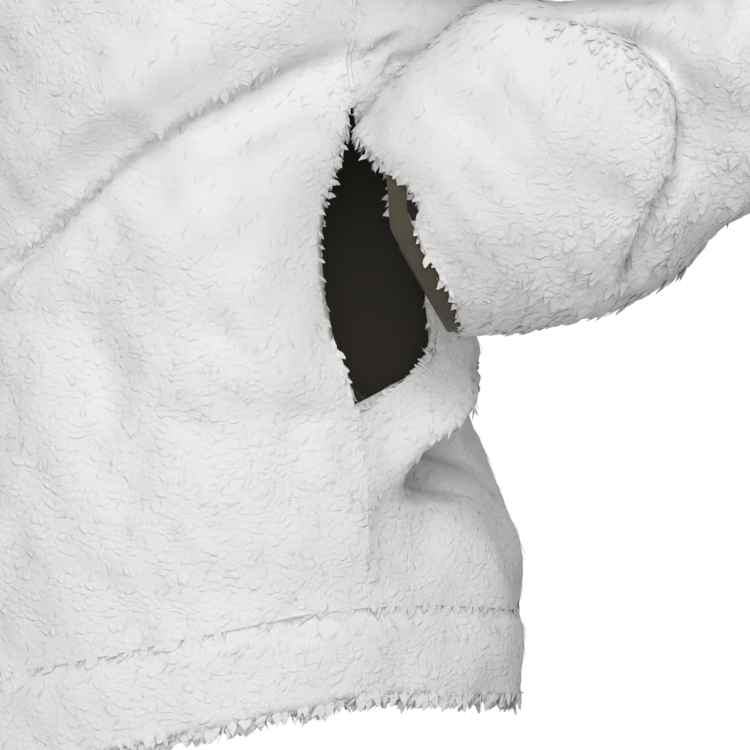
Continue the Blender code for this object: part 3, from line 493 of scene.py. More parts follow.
def mark_wall(bm, node, surfaces):
    """Stores how far out each vertex lies and gives the faces their kinds."""
    outer = bm.verts.layers.float.new("outer")
    hard = bm.edges.layers.float.new("crease_edge")
    for edge in bm.edges:
        edge[hard] = float(edge.calc_face_angle(0.0) > SKIN_ANGLE)
    inside = inner_faces(bm)
    sewn = sewn_vertices(bm, [surface for name, surface in surfaces.items() if name != node])
    for vertex in bm.verts:
        inner = sum(face in inside for face in vertex.link_faces)
        vertex[outer] = 0.5
        if not inner:
            vertex[outer] = 1.0
        elif inner == len(vertex.link_faces) or vertex in sewn:
            vertex[outer] = 0.0
    for face in bm.faces:
        rim = face not in inside and any(edge[hard] for edge in face.edges)
        edge_strip = rim and any(other in inside for vertex in face.verts for other in vertex.link_faces)
        face.material_index = INNER if face in inside else OUTER
        if edge_strip:
            corners = sum(vertex in sewn for vertex in face.verts)
            high = surfaces and node != "neckband" and face.calc_center_median().z > ALL_SEWN_ABOVE
            face.material_index = SEWN if high or corners * 2 > len(face.verts) else FREE
    for edge in bm.edges:
        edge.smooth = not (edge[hard] and any(face.material_index == SEWN for face in edge.link_faces))


def shell_mesh(node, surfaces):
    """The node's wall, welded, in quads and smoothed. Its attribute "outer" is 1 on the outer skin and
    the edges, 0 on the inner skin and one half where the two meet at a free edge. The material numbers
    tell the kinds of faces. The surfaces are those of the pieces it may be sewn to."""
    mesh = frame["nodes"][node].data.copy()
    mesh.materials.clear()
    bm = bmesh.new()
    bm.from_mesh(mesh)
    bmesh.ops.remove_doubles(bm, verts=bm.verts, dist=WELD)
    bmesh.ops.join_triangles(bm, faces=bm.faces, angle_face_threshold=QUAD_ANGLE,
                             angle_shape_threshold=math.pi)
    bm.normal_update()
    mark_wall(bm, node, surfaces)
    bm.to_mesh(mesh)
    bm.free()
    thing = add_object(node + "_draft", mesh)
    smooth = thing.modifiers.new("smooth", "SUBSURF")
    smooth.levels = smooth.render_levels = SUBDIVISIONS
    made = bpy.data.meshes.new_from_object(thing.evaluated_get(bpy.context.evaluated_depsgraph_get()))
    bpy.data.objects.remove(thing, do_unlink=True)
    made.shade_smooth()
    return made


def face_arrays(mesh):
    """Kind, middle, direction and area of each face, and the faces and vertices of its corners."""
    count = len(mesh.polygons)
    kinds, totals = np.zeros(count, np.int32), np.zeros(count, np.int32)
    middles, normals, areas = np.zeros(count * 3), np.zeros(count * 3), np.zeros(count)
    corners = np.zeros(len(mesh.loops), np.int32)
    mesh.polygons.foreach_get("material_index", kinds)
    mesh.polygons.foreach_get("loop_total", totals)
    mesh.polygons.foreach_get("center", middles)
    mesh.polygons.foreach_get("normal", normals)
    mesh.polygons.foreach_get("area", areas)
    mesh.loops.foreach_get("vertex_index", corners)
    return {"kinds": kinds, "middles": middles.reshape(-1, 3), "normals": normals.reshape(-1, 3),
            "areas": areas, "corner_faces": np.repeat(np.arange(count), totals), "corners": corners}


def skin_normals(mesh, kinds=(OUTER, INNER, FREE)):
    """The way the faces of these kinds look at each point, by their areas."""
    faces = face_arrays(mesh)
    keep = np.isin(faces["kinds"][faces["corner_faces"]], kinds)
    pulls = (faces["normals"] * faces["areas"][:, None])[faces["corner_faces"][keep]]
    sums = np.zeros((len(mesh.vertices), 3))
    np.add.at(sums, faces["corners"][keep], pulls)
    return unit_rows(sums)


def way_out(mesh, points):
    """The way over the nearest free edge at each point, growing from 0 to 1 towards the edge."""
    faces = face_arrays(mesh)
    free = np.flatnonzero(faces["kinds"] == FREE)
    ways = np.zeros((len(points), 3))
    if not len(free):
        return ways
    tree = KDTree(len(free))
    for number in free:
        tree.insert(faces["middles"][number], number)
    tree.balance()
    for place, point in enumerate(points):
        _, number, gap = tree.find(point)
        if gap < EDGE_REACH:
            ways[place] = faces["normals"][number] * (1.0 - gap / EDGE_REACH)
    return ways


def crease_path(corners, rounds=2):
    """The line through the corners, its corners cut off twice, as evenly close points."""
    path = np.array(corners, float)
    for _ in range(rounds):
        before, after = path[:-1], path[1:]
        middle = np.stack((0.75 * before + 0.25 * after, 0.25 * before + 0.75 * after), axis=1)
        path = np.concatenate((path[:1], middle.reshape(-1, path.shape[1]), path[-1:]))
    run = np.append(0.0, np.cumsum(np.linalg.norm(np.diff(path, axis=0), axis=1)))
    spots = np.linspace(0.0, run[-1], PATH_POINTS)
    return np.stack([np.interp(spots, run, path[:, axis]) for axis in range(path.shape[1])], axis=1)


def body_places(points):
    """Each point's place round the body and its height, and its ways out, round and up."""
    angle = np.arctan2(points[:, 1], points[:, 0])
    flat = np.zeros(len(points))
    out = np.stack((np.cos(angle), np.sin(angle), flat), axis=1)
    around = np.stack((-np.sin(angle), np.cos(angle), flat), axis=1)
    up = np.tile((0.0, 0.0, 1.0), (len(points), 1))
    return np.stack((angle * MEAN_RADIUS, points[:, 2]), axis=1), (out, around, up)


def forearm_places(node, points):
    """Each point's place round the forearm and distance from the cuff, and its ways out, round and on."""
    shoulder, elbow, cuff = (np.array(spot) for spot in SLEEVE_LINES[node])
    fore = (cuff - elbow) / np.linalg.norm(cuff - elbow)
    inside = shoulder - elbow - ((shoulder - elbow) @ fore) * fore
    inside /= np.linalg.norm(inside)
    away = np.cross(inside, fore)
    away *= np.sign(away[0]) * np.sign(shoulder[0])
    from_cuff = (cuff - points) @ fore
    offset = points - cuff + from_cuff[:, None] * fore
    angle = np.arctan2(-offset @ inside, offset @ away)
    around = -np.sin(angle)[:, None] * away - np.cos(angle)[:, None] * inside
    on = np.tile(-fore, (len(points), 1))
    return np.stack((angle * SLEEVE_RADIUS, from_cuff), axis=1), (unit_rows(offset), around, on)


def piece_places(row, points):
    """The creases of a cloth piece, its radius, and its points' places and ways."""
    if row["combed"] == "body":
        return (BODY_CREASES, MEAN_RADIUS) + body_places(points)
    return (FOREARM_CREASES[row["node"]], SLEEVE_RADIUS) + forearm_places(row["node"], points)


def near_crease(crease, radius, places):
    """The points near a crease: their numbers, how near they are (1 is on its line), how far along it
    they lie, and the way to the right of its line there."""
    path = crease_path([(math.radians(angle) * radius, height) for angle, height in crease["corners"]])
    reach = CREASE_REACH * crease["half_width"]
    low, high = path.min(axis=0) - reach, path.max(axis=0) + reach
    near = np.flatnonzero(((places > low) & (places < high)).all(axis=1))
    gaps = np.linalg.norm(places[near][:, None, :] - path[None, :, :], axis=2)
    closest = gaps.argmin(axis=1)
    share = closest / (len(path) - 1.0)
    phase = 80.0 * abs(path[0, 0])      # the waves begin elsewhere on each crease
    width = crease["half_width"] * (1.0 + WIDTH_SWAY * np.sin(WIDTH_WAVES * share + phase))
    heading = unit_rows(np.gradient(path, axis=0))
    right = np.stack((heading[:, 1], -heading[:, 0]), axis=1)
    return near, np.exp(-(gaps.min(axis=1) / width) ** 2), share, right[closest]


def crease_moves(creases, radius, places):
    """How far each point is moved out, round and along by the creases, and how many tufts they give it."""
    moves, tufts = np.zeros((len(places), 3)), np.zeros(len(places))
    for crease in named_rows(CREASE_COLUMNS, creases):
        near, strength, share, right = near_crease(crease, radius, places)
        ends = smooth_step(np.minimum(share, 1.0 - share) / CREASE_FADE + CREASE_END)
        phase = 50.0 * crease["half_width"] + 100.0 * abs(crease["corners"][0][1])
        uneven = 1.0 + DEPTH_SWAY * np.sin(DEPTH_WAVES * share + phase)
        strength = strength * ends
        moves[near, 0] += crease["stands_out"] * uneven * strength
        moves[near, 1:] += crease["leans"] * (uneven * strength)[:, None] * right
        tufts[near] = np.maximum(tufts[near], crease["tufts"] * strength)
    return moves, tufts


def refine_creases(mesh, row):
    """Makes the cloth twice as fine near its creases."""
    points, _ = vertex_arrays(mesh)
    creases, radius, places, _ = piece_places(row, points)
    close = np.zeros(len(points), bool)
    for crease in named_rows(CREASE_COLUMNS, creases):
        near, strength, _, _ = near_crease(crease, radius, places)
        close[near[strength > math.exp(-REFINED_WITHIN ** 2)]] = True
    bm = bmesh.new()
    bm.from_mesh(mesh)
    bm.verts.ensure_lookup_table()
    edges = [edge for edge in bm.edges if all(close[vertex.index] for vertex in edge.verts)]
    bmesh.ops.subdivide_edges(bm, edges=edges, cuts=1, use_grid_fill=True)
    bm.to_mesh(mesh)
    bm.free()


def lower_edge(points, reach):
    """Grows from 0 at this height above the piece's lower edge to 1 on it, all round."""
    angle = np.degrees(np.arctan2(points[:, 1], points[:, 0]))
    turn = np.round(angle / TURN_STEP).astype(int)
    lowest = np.full(round(360 / TURN_STEP), np.inf)
    np.minimum.at(lowest, turn % len(lowest), points[:, 2])
    measured = np.flatnonzero(np.isfinite(lowest))
    line = np.interp(angle, measured * TURN_STEP, lowest[measured], period=360.0)
    return smooth_step(1.0 - (points[:, 2] - line) / reach)


def forearm_degrees(places):
    """The degrees round the forearm of such places."""
    return np.degrees(places[:, 0] / SLEEVE_RADIUS)


def calmness(row, points):
    """How flat the pile lies at each point: where it is brushed smooth the furrows nearly vanish."""
    calm = CALM_PATCHES * smooth_step(0.5 * soft_noise(points, *PATCH_NOISE))
    if row["combed"] == "sleeve":
        places, _ = forearm_places(row["node"], points)
        inward = 1.0 - smooth_step((forearm_degrees(places) - INWARD_FROM) / CALM_FADES)
        return np.maximum(calm, CALM_FOREARM * inward)
    places, _ = body_places(points)
    for angle, height, reach in SMOOTH_PLACES:
        gap = np.linalg.norm(places - (math.radians(angle) * MEAN_RADIUS, height), axis=1)
        calm = np.maximum(calm, CALM_BODY * smooth_step(1.5 - gap / reach))
    return calm


def growth(row, points, edge, creased):
    """At each point the locks' size, how high they stand for it, the share of them that are tufts, and
    the share of the places that carry a lock.

    edge grows from 0 to 1 towards a free edge, and creased tells how thick the creases' tufts stand.
    """
    size = np.ones(len(points))
    edge = np.minimum(EDGE_GAIN * edge, 1.0)
    full = np.maximum(edge, creased)
    if row["combed"] == "sleeve":
        places, _ = forearm_places(row["node"], points)
        degrees = forearm_degrees(places)
        under = smooth_step((degrees - UNDERSIDE_FROM) / UNDERSIDE_GROWS)
        under = under * smooth_step((UNDERSIDE_TO - degrees) / UNDERSIDE_FADES)
        under = under * smooth_step((UNDERSIDE_LENGTH - places[:, 1]) / UNDERSIDE_END)
        tufted = np.maximum(full, UNDERSIDE_TUFTS * under)
        size = size + UNDERSIDE_LARGER * (1.0 - edge) * under
        low = 0.0
    else:
        hem = row["node"] == "hem_band"
        low = lower_edge(points, HEM_FRINGE if hem else SEAM_FRINGE) * (points[:, 2] < ALL_SEWN_ABOVE)
        tufted = np.maximum(full, FRINGE_TUFTS * low)
        size = size + (HEM_LOCKS_LARGER if hem else SEAM_LOCKS_LARGER) * low
    size = size * (1.0 - CREASE_LOCKS_SMALLER * full)
    cover = np.maximum(np.maximum(THINNEST + (MIDDLING - THINNEST) * tufted, full), low)
    return row["size"] * size, row["height"] * (LEAST_HEIGHT + TUFT_HEIGHT * tufted), tufted, cover


def combing(row, points, normals):
    """Direction of the pile's lie at each point, along the surface."""
    down = np.tile((0.0, 0.0, -1.0), (len(points), 1))
    if row["combed"] == "sleeve":
        shoulder, elbow, cuff = (np.array(spot) for spot in SLEEVE_LINES[row["node"]])
        upper, fore = elbow - shoulder, cuff - elbow
        share = smooth_step(0.5 + ((points - elbow) @ (fore - upper)) / ELBOW_TURN)
        along = unit_rows((1 - share)[:, None] * upper + share[:, None] * fore)
        way = SLEEVE_DOWN * down + SLEEVE_ALONG * along
    else:
        angle = np.arctan2(points[:, 1], points[:, 0])
        frontward = np.stack((np.sin(angle), -np.cos(angle), np.zeros(len(points))), axis=1)
        lean = np.clip(points[:, 0] / SIDES_TURN, -1.0, 1.0)
        way = down + SIDES_FRONT * lean[:, None] * frontward
    swirl = np.stack([soft_noise(points, *noise) for noise in SWIRLS], axis=1)
    return along_surface(way + SWIRL * swirl, normals)


# ---------------------------------------------------------------- materials
class Nodes:
    """Short hand for building a node tree."""

    def __init__(self, tree):
        self.tree = tree

    def add(self, kind, links=(), **settings):
        """A node with these settings, its sockets linked or given a value."""
        node = self.tree.nodes.new(kind)
        for key, value in settings.items():
            setattr(node, key, value)
        for socket, source in dict(links).items():
            target = self.socket(node.inputs, socket)
            if isinstance(source, bpy.types.NodeSocket):
                self.tree.links.new(source, target)
            else:
                target.default_value = source
        return node

    @staticmethod
    def socket(sockets, name):
        """The enabled socket of that name, or the one at that place."""
        if isinstance(name, int):
            return sockets[name]
        return next(socket for socket in sockets if socket.name == name and socket.enabled)

    def out(self, node, name):
        return self.socket(node.outputs, name)

    def number(self, operation, *values):
        """The outcome of a sum with numbers."""
        links = dict(enumerate(values))
        return self.add("ShaderNodeMath", links, operation=operation).outputs["Value"]

    def vector(self, operation, *values):
        """The outcome of a sum with vectors."""
        links = dict(enumerate(values))
        return self.add("ShaderNodeVectorMath", links, operation=operation).outputs["Vector"]

    def ramp(self, value, start, end, low=0.0, high=1.0, curve="SMOOTHSTEP"):
        """Goes from low to high while the value goes from start to end."""
        links = {"Value": value, "From Min": start, "From Max": end, "To Min": low, "To Max": high}
        return self.add("ShaderNodeMapRange", links, interpolation_type=curve).outputs["Result"]

    def place(self):
        """Where each point lies in its object's own metres."""
        return self.add("ShaderNodeTexCoord").outputs["Object"]

    def noise(self, place, scale, detail):
        return self.add("ShaderNodeTexNoise", {"Vector": place, "Scale": scale, "Detail": detail})

    def stretched(self, place, scale):
        return self.add("ShaderNodeMapping", {"Vector": place, "Scale": scale}).outputs["Vector"]

    def raise_surface(self, shader, height, strength, depth):
        """Raises the shader's surface by a height, in its shading only."""
        bump = self.add("ShaderNodeBump", {"Height": height, "Strength": strength, "Distance": depth})
        self.tree.links.new(bump.outputs["Normal"], shader.inputs["Normal"])

    def stored(self, name, kind="FLOAT"):
        """What a mesh's attribute holds."""
        return self.out(self.add("GeometryNodeInputNamedAttribute", {"Name": name}, data_type=kind),
                        "Attribute")

    def chance(self, low, high, seed, kind="FLOAT"):
        """A random value for each lock."""
        return self.out(self.add("FunctionNodeRandomValue", {"Min": low, "Max": high, "Seed": seed},
                                 data_type=kind), "Value")


def new_material(name, colour, roughness, sheen=0.0):
    """A material, its shader and its nodes."""
    material = bpy.data.materials.new(name)
    material.use_nodes = True
    shader = material.node_tree.nodes["Principled BSDF"]
    shader.inputs["Base Color"].default_value = (*colour, 1.0)
    shader.inputs["Roughness"].default_value = roughness
    shader.inputs["Specular IOR Level"].default_value = SPECULAR
    shader.inputs["Sheen Weight"].default_value = sheen
    shader.inputs["Sheen Roughness"].default_value = SHEEN_ROUGHNESS
    return material, shader, Nodes(material.node_tree)


def pile_material(settings):
    """White pile: clumps that lie over each other like shingles, with shadow painted in grey under their
    lower edges.
    """
    material, shader, nodes = new_material("fleece_pile", settings.colour, 1.0, sheen=0.15)
    place = nodes.place()
    wide = nodes.noise(place, SWAY_SCALE, 0.0)
    fine = nodes.noise(place, FRAY_SCALE, 1.0)
    swayed = nodes.vector("MULTIPLY_ADD", wide.outputs["Color"], (settings.furrow_sway,) * 3, place)
    frayed = nodes.vector("MULTIPLY_ADD", fine.outputs["Color"], (settings.furrow_fray,) * 3, swayed)
    flat = nodes.stretched(frayed, CLUMP_STRETCH)
    cells = {"Vector": flat, "Scale": 1.0 / settings.clump_width}
    edges = nodes.add("ShaderNodeTexVoronoi", cells, feature="DISTANCE_TO_EDGE").outputs["Distance"]
    clumps = nodes.add("ShaderNodeTexVoronoi", cells, feature="F1")
    off = nodes.vector("SUBTRACT", clumps.outputs["Position"], flat)
    below = nodes.add("ShaderNodeSeparateXYZ", {"Vector": off}).outputs["Z"]
    lower = nodes.ramp(below, LOWER_FROM * settings.clump_width, LOWER_TO * settings.clump_width)
    # Clumps stand unequally high, and lower where the pile lies flat.
    luck = nodes.add("ShaderNodeSeparateColor", {"Color": clumps.outputs["Color"]}).outputs["Red"]
    calm = nodes.add("ShaderNodeAttribute", attribute_name="calm").outputs["Fac"]
    stands = nodes.number("MULTIPLY", nodes.ramp(luck, 0.0, 1.0, LEAST_CLUMP, 1.0, curve="LINEAR"),
                          nodes.number("SUBTRACT", 1.0, calm))
    # Painted shadow in grey in the furrows under the clumps, and a little painted shade on the rims of the
    # locks.
    furrow = nodes.ramp(edges, 0.0, FURROW_WIDTH, 1.0, 0.0)
    furrow_shadow_mask = nodes.number("MULTIPLY", nodes.number("MULTIPLY", furrow, lower), stands)
    rim = nodes.add("ShaderNodeAttribute", attribute_name="rim").outputs["Fac"]
    # Painted shade on the locks' rims, summed with the painted furrow shadow to darken the colour.
    edge = nodes.ramp(rim, RIM_FROM, 1.0, 0.0, settings.painted_rim_shade)
    shade = nodes.number("MULTIPLY_ADD", furrow_shadow_mask, settings.painted_furrow_shadow, edge)
    base = nodes.add("ShaderNodeVectorMath", {0: tuple(settings.colour),
                                              "Scale": nodes.number("SUBTRACT", 1.0, shade)},
                     operation="SCALE")
    nodes.tree.links.new(base.outputs["Vector"], shader.inputs["Base Color"])
    # Each clump is a low dome that rises towards its lower edge, with fibres on it.
    dome = nodes.ramp(edges, 0.0, DOME_WIDTH, curve="SMOOTHERSTEP")
    lift = nodes.number("MULTIPLY_ADD", lower, 1.0 - LEAST_LIFT, LEAST_LIFT)
    shingle = nodes.number("MULTIPLY", dome, nodes.number("MULTIPLY", lift, stands))
    fibres = nodes.noise(nodes.stretched(frayed, FIBRE_STRETCH), FIBRE_SCALE, 2.0)
    height = nodes.number("MULTIPLY_ADD", fibres.outputs["Fac"], FIBRE_HEIGHT, shingle)
    nodes.raise_surface(shader, height, 1.0, settings.clump_height)
    return material


def backing_material(settings):
    """The fleece's knit back, which shows inside the neck, the hem and the cuffs."""
    material, shader, nodes = new_material("knit_backing", settings.backing_colour, 0.95, sheen=0.1)
    wales = nodes.add("ShaderNodeTexVoronoi", {"Vector": nodes.place(), "Scale": WALE_SCALE,
                                               "Randomness": WALE_RANDOMNESS})
    nodes.raise_surface(shader, wales.outputs["Distance"], *WALE_BUMP)
    return material


def binding_material(settings):
    """Dull olive elastic, a little mottled."""
    colour = settings.binding_colour
    material, shader, nodes = new_material("elastic_binding", colour, 0.8, sheen=0.15)
    place = nodes.place()
    cloudy = nodes.noise(place, MOTTLE_SCALE, 2.0)
    mixed = nodes.add("ShaderNodeMix", {"Factor": cloudy.outputs["Fac"],
                                        "A": (*[(1.0 - MOTTLE) * part for part in colour], 1.0),
                                        "B": (*[(1.0 + MOTTLE) * part for part in colour], 1.0)},
                      data_type="RGBA")
    nodes.tree.links.new(nodes.out(mixed, "Result"), shader.inputs["Base Color"])
    grain = nodes.noise(place, BINDING_SCALE, 2.0)
    nodes.raise_surface(shader, grain.outputs["Fac"], *BINDING_BUMP)
    return material


def pocketing_material(settings):
    """Plain dark olive pocketing."""
    material, shader, nodes = new_material("pocketing", settings.pocketing_colour, 0.85, sheen=0.1)
    grain = nodes.noise(nodes.place(), POCKETING_SCALE, 2.0)
    nodes.raise_surface(shader, grain.outputs["Fac"], *POCKETING_BUMP)
    return material


# ---------------------------------------------------------------- pile
def lock_mesh(name, kind, lock, settings):
    """One lock of pile: a low hollow mound that lies along +Y and rises along +Z."""
    points, rims, faces = [], [], []
    for share, half, low, high, near in zip(kind["shares"], lock["half_widths"], kind["sides"],
                                            lock["middles"], lock["rims"]):
        aside = lock["bend"] * share * share * settings.lock_length
        for side in (-1.0, 0.0, 1.0):
            along = share * settings.lock_length
            if share == kind["shares"][-1] and not side:
                along += lock["point"] * settings.lock_length
            points.append((aside + side * half * settings.lock_width / 2.0, along,
                           (low if side else high) * settings.lock_height))
            rims.append(1.0 if side else near)
    for row in range(len(kind["shares"]) - 1):
        for column in range(2):
            corner = row * 3 + column
            faces.append((corner, corner + 1, corner + 4, corner + 3))
    mesh = bpy.data.meshes.new(name)
    mesh.from_pydata(points, [], faces)
    # The rim value steers the painted shade on the lock's rim.
    write_values(mesh, "rim", np.array(rims))
    mesh.shade_smooth()
    return mesh


def pile_tree(material):
    """Geometry nodes that lay locks of pile on a cloth, combed and uneven."""
    tree = bpy.data.node_groups.new("Pile of locks", "GeometryNodeTree")
    tree.is_modifier = True
    kinds = {"Cloth": "Geometry", "Locks": "Collection", "Spacing": "Float", "Density": "Float",
             "Seed": "Int"}
    for name, kind in kinds.items():
        tree.interface.new_socket(name, in_out="INPUT", socket_type="NodeSocket" + kind)
    tree.interface.new_socket("Pile", in_out="OUTPUT", socket_type="NodeSocketGeometry")
    nodes = Nodes(tree)
    given = nodes.add("NodeGroupInput").outputs
    points = nodes.add("GeometryNodeDistributePointsOnFaces",
                       {"Mesh": given["Cloth"], "Distance Min": given["Spacing"],
                        "Density Max": given["Density"], "Density Factor": nodes.stored("fullness"),
                        "Seed": given["Seed"]}, distribute_method="POISSON")
    upright = nodes.add("FunctionNodeAlignRotationToVector", {"Vector": points.outputs["Normal"]}, axis="Z")
    combed = nodes.add("FunctionNodeAlignRotationToVector",
                       {"Rotation": upright.outputs["Rotation"],
                        "Vector": nodes.stored("nap", "FLOAT_VECTOR")}, axis="Y", pivot_axis="Z")
    most = (LOCK_TILT, LOCK_TILT, LOCK_TURN)
    least = tuple(-part for part in most)
    turned = nodes.add("FunctionNodeRotateRotation",
                       {"Rotation": combed.outputs["Rotation"],
                        "Rotate By": nodes.chance(least, most, 0, "FLOAT_VECTOR")}, rotation_space="LOCAL")
    coarse = coarseness()
    size = nodes.number("MULTIPLY", nodes.chance(SMALLEST_LOCK * coarse, LARGEST_LOCK * coarse, 3),
                        nodes.stored("size"))
    rise = nodes.number("MULTIPLY", size, nodes.stored("height"))
    scale = nodes.add("ShaderNodeCombineXYZ", {"X": size, "Y": size, "Z": rise})
    stands = nodes.add("FunctionNodeCompare", {"A": nodes.chance(0.0, 1.0, 8), "B": nodes.stored("tufted")},
                       data_type="FLOAT", operation="LESS_THAN")
    pick = nodes.add("GeometryNodeSwitch",
                     {"Switch": stands.outputs["Result"],
                      "False": nodes.chance(0, len(WISPS) - 1, 5, "INT"),
                      "True": nodes.chance(len(WISPS), len(WISPS + TUFTS) - 1, 6, "INT")},
                     input_type="INT")
    locks = nodes.add("GeometryNodeCollectionInfo",
                      {"Collection": given["Locks"], "Separate Children": True, "Reset Children": True})
    placed = nodes.add("GeometryNodeInstanceOnPoints",
                       {"Points": points.outputs["Points"], "Instance": locks.outputs["Instances"],
                        "Pick Instance": True, "Instance Index": pick.outputs["Output"],
                        "Rotation": turned.outputs["Rotation"], "Scale": scale.outputs["Vector"]})
    grounded = nodes.add("GeometryNodeStoreNamedAttribute",
                         {"Geometry": placed.outputs["Instances"], "Name": "ground",
                          "Value": points.outputs["Normal"]}, data_type="FLOAT_VECTOR", domain="INSTANCE")
    real = nodes.add("GeometryNodeRealizeInstances", {"Geometry": grounded.outputs["Geometry"]})
    done = nodes.add("GeometryNodeSetMaterial",
                     {"Geometry": real.outputs["Geometry"], "Material": material})
    nodes.add("NodeGroupOutput", {"Pile": done.outputs["Geometry"]})
    return tree


def coarseness():
    """How much larger and further apart the locks are than in a full run."""
    return 1.0


def grow_pile(cloth, tree, locks, row, seed):
    """The pile of one cloth piece as a plain mesh, shaded softly."""
    spacing = row["spacing"] * coarseness()
    given = {"Locks": locks, "Spacing": spacing, "Density": CROWDING / spacing ** 2, "Seed": seed}
    modifier = cloth.modifiers.new("pile", "NODES")
    modifier.node_group = tree
    for item in tree.interface.items_tree:
        if item.name in given:
            modifier[item.identifier] = given[item.name]
    made = bpy.data.meshes.new_from_object(cloth.evaluated_get(bpy.context.evaluated_depsgraph_get()))
    cloth.modifiers.remove(modifier)
    _, normals = vertex_arrays(made)
    ground = unit_rows(read_values(made, "ground", "vector", 3))
    if row["folded"]:
        ground[:, 2] = np.maximum(ground[:, 2], LOWEST_FACING)
    soft = unit_rows(row["softness"] * unit_rows(ground) + (1.0 - row["softness"]) * normals)
    made.normals_split_custom_set_from_vertices(soft.tolist())
    drop_attributes(made, CLOTH_ATTRIBUTES + ("ground",))
    return add_object(cloth.name.replace("_cloth", "_pile"), made)


def make_locks(settings):
    """The few lock shapes that the pile repeats, wisps first: a collection lists them by name."""
    holder = bpy.data.collections.new("locks")
    bpy.context.scene.collection.children.link(holder)
    for kind in named_rows(KIND_COLUMNS, LOCK_KINDS):
        for lock in named_rows(LOCK_COLUMNS, kind["locks"]):
            mesh = lock_mesh("_".join((kind["name"], lock["name"], "lock")), kind, lock, settings)
            holder.objects.link(bpy.data.objects.new(mesh.name, mesh))
    return holder


def remove_locks(holder):
    for thing in list(holder.objects):
        bpy.data.objects.remove(thing, do_unlink=True)
    bpy.data.collections.remove(holder)


def face_means(mesh, values):
    """The mean of a value over each face's corners."""
    corners = np.zeros(len(mesh.loops), np.int32)
    starts = np.zeros(len(mesh.polygons), np.int32)
    mesh.loops.foreach_get("vertex_index", corners)
    mesh.polygons.foreach_get("loop_start", starts)
    return np.add.reduceat(values[corners], starts) / np.diff(np.append(starts, len(corners)))


def shape_cloth(mesh, row, settings):
    """Sinks the shell below the pile's tips, closes its seams and presses in its creases. Returns its
    points and how thick the creases' tufts stand there."""
    node = row["node"]
    points, _ = vertex_arrays(mesh)
    outer = smooth_step(read_values(mesh, "outer"))
    lumps = soft_noise(points, *BROAD_LUMPS) + 0.5 * soft_noise(points, *FINE_LUMPS)
    sink = (settings.lump_height * lumps - settings.pile_depth) * outer
    closing = np.full(len(points), SEAM_CLOSING)
    if node == "hem_band":
        # Its seam is its upper edge, so the heights are turned round.
        seam = lower_edge(points * (1.0, 1.0, -1.0), SEAM_FRINGE)
        sink -= SEAM_DEPTH * seam * outer
        closing *= 1.0 - HEM_SEAM_OPEN * seam
    if node in BODY_PANELS:
        closing *= 1.0 - HEM_SEAM_OPEN * lower_edge(points, SEAM_FRINGE)
    points = points + sink[:, None] * skin_normals(mesh) + closing[:, None] * skin_normals(mesh, (SEWN,))
    creases, radius, places, ways = piece_places(row, points)
    moves, creased = crease_moves(creases, radius, places)
    points = points + sum(moves[:, [axis]] * way for axis, way in enumerate(ways))
    put_points(mesh, points)
    return points, creased


def comb_cloth(mesh, row, points, creased):
    """Stores how the pile grows on the cloth: its lie, the locks' size, height and kind, how flat it is
    and how full."""
    normals = skin_normals(mesh)
    kinds = face_arrays(mesh)["kinds"]
    over = way_out(mesh, points)
    if row["node"] != "neckband":
        over[points[:, 2] > ALL_SEWN_ABOVE] = 0.0
    write_values(mesh, "nap", along_surface(combing(row, points, normals) + EDGE_PULL * over, normals))
    size, height, tufted, cover = growth(row, points, np.linalg.norm(over, axis=1), creased)
    write_values(mesh, "size", size)
    write_values(mesh, "height", height)
    write_values(mesh, "tufted", tufted)
    write_values(mesh, "calm", calmness(row, points))
    piled = smooth_step((read_values(mesh, "outer") - OUTER_FROM) / OUTER_GROWS)
    if row["folded"]:
        piled = np.maximum(piled, INNER_FULLNESS)
    full = face_means(mesh, piled * np.clip(cover, 0.0, 1.0))
    full[kinds == SEWN] = 0.0
    full[kinds == FREE] *= row["edge_fullness"]
    if row["folded"]:
        full *= face_means(mesh, smooth_step((normals[:, 2] - BARE_FACING) / BARE_FADES))
    write_values(mesh, "fullness", full, "FACE")
    return kinds


def dress_cloth(row, settings, tree, locks, materials, surfaces, seed):
    """One cloth piece: its backing shell, sunk below the pile's tips, and the pile on it."""
    node = row["node"]
    mesh = shell_mesh(node, surfaces)
    refine_creases(mesh, row)
    points, creased = shape_cloth(mesh, row, settings)
    kinds = comb_cloth(mesh, row, points, creased)
    for material in materials:
        mesh.materials.append(material)
    backing = (kinds == INNER) & (not row["folded"])
    mesh.polygons.foreach_set("material_index", backing.astype(np.int32))
    cloth = add_object(node + "_cloth", mesh)
    pile = grow_pile(cloth, tree, locks, row, seed)
    drop_attributes(mesh, CLOTH_ATTRIBUTES)
    for thing in (cloth, pile):
        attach(thing, "root")
    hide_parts(node)


def dress_nodes(names):
    """Dresses the named cloth pieces."""
    settings = bpy.context.scene.pullover_fleece
    pile = bpy.data.materials.get("fleece_pile") or pile_material(settings)
    backing = bpy.data.materials.get("knit_backing") or backing_material(settings)
    tree = bpy.data.node_groups.get("Pile of locks") or pile_tree(pile)
    locks = make_locks(settings)
    surfaces = cloth_surfaces()
    for seed, row in enumerate(named_rows(CLOTH_COLUMNS, CLOTH_PIECES)):
        if row["node"] in names:
            dress_cloth(row, settings, tree, locks, (pile, backing), surfaces, seed)
    remove_locks(locks)


def tuck_binding(mesh, row):
    """Draws a binding back into its sleeve, under the pile, most on the inside of the elbow's bend."""
    points, _ = vertex_arrays(mesh)
    places, (out, _, on) = forearm_places(row["sleeve"], points)
    inside = smooth_step((INWARD_FROM - forearm_degrees(places)) / TUCK_GROWS)
    slide = row["tucked"] + row["tucked_inside"] * inside
    put_points(mesh, points + slide[:, None] * on - BINDING_UNDER * out)


def dress_plain(rows, material):
    """Smooth thin pieces: the nodes' forms, finer."""
    for row in named_rows(PLAIN_COLUMNS, rows):
        mesh = shell_mesh(row["node"], {})
        if row["sleeve"]:
            tuck_binding(mesh, row)
        drop_attributes(mesh, ("outer",))
        mesh.materials.append(material)
        thing = add_object(row["node"] + "_cloth", mesh)
        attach(thing, "root")
        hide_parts(row["node"])


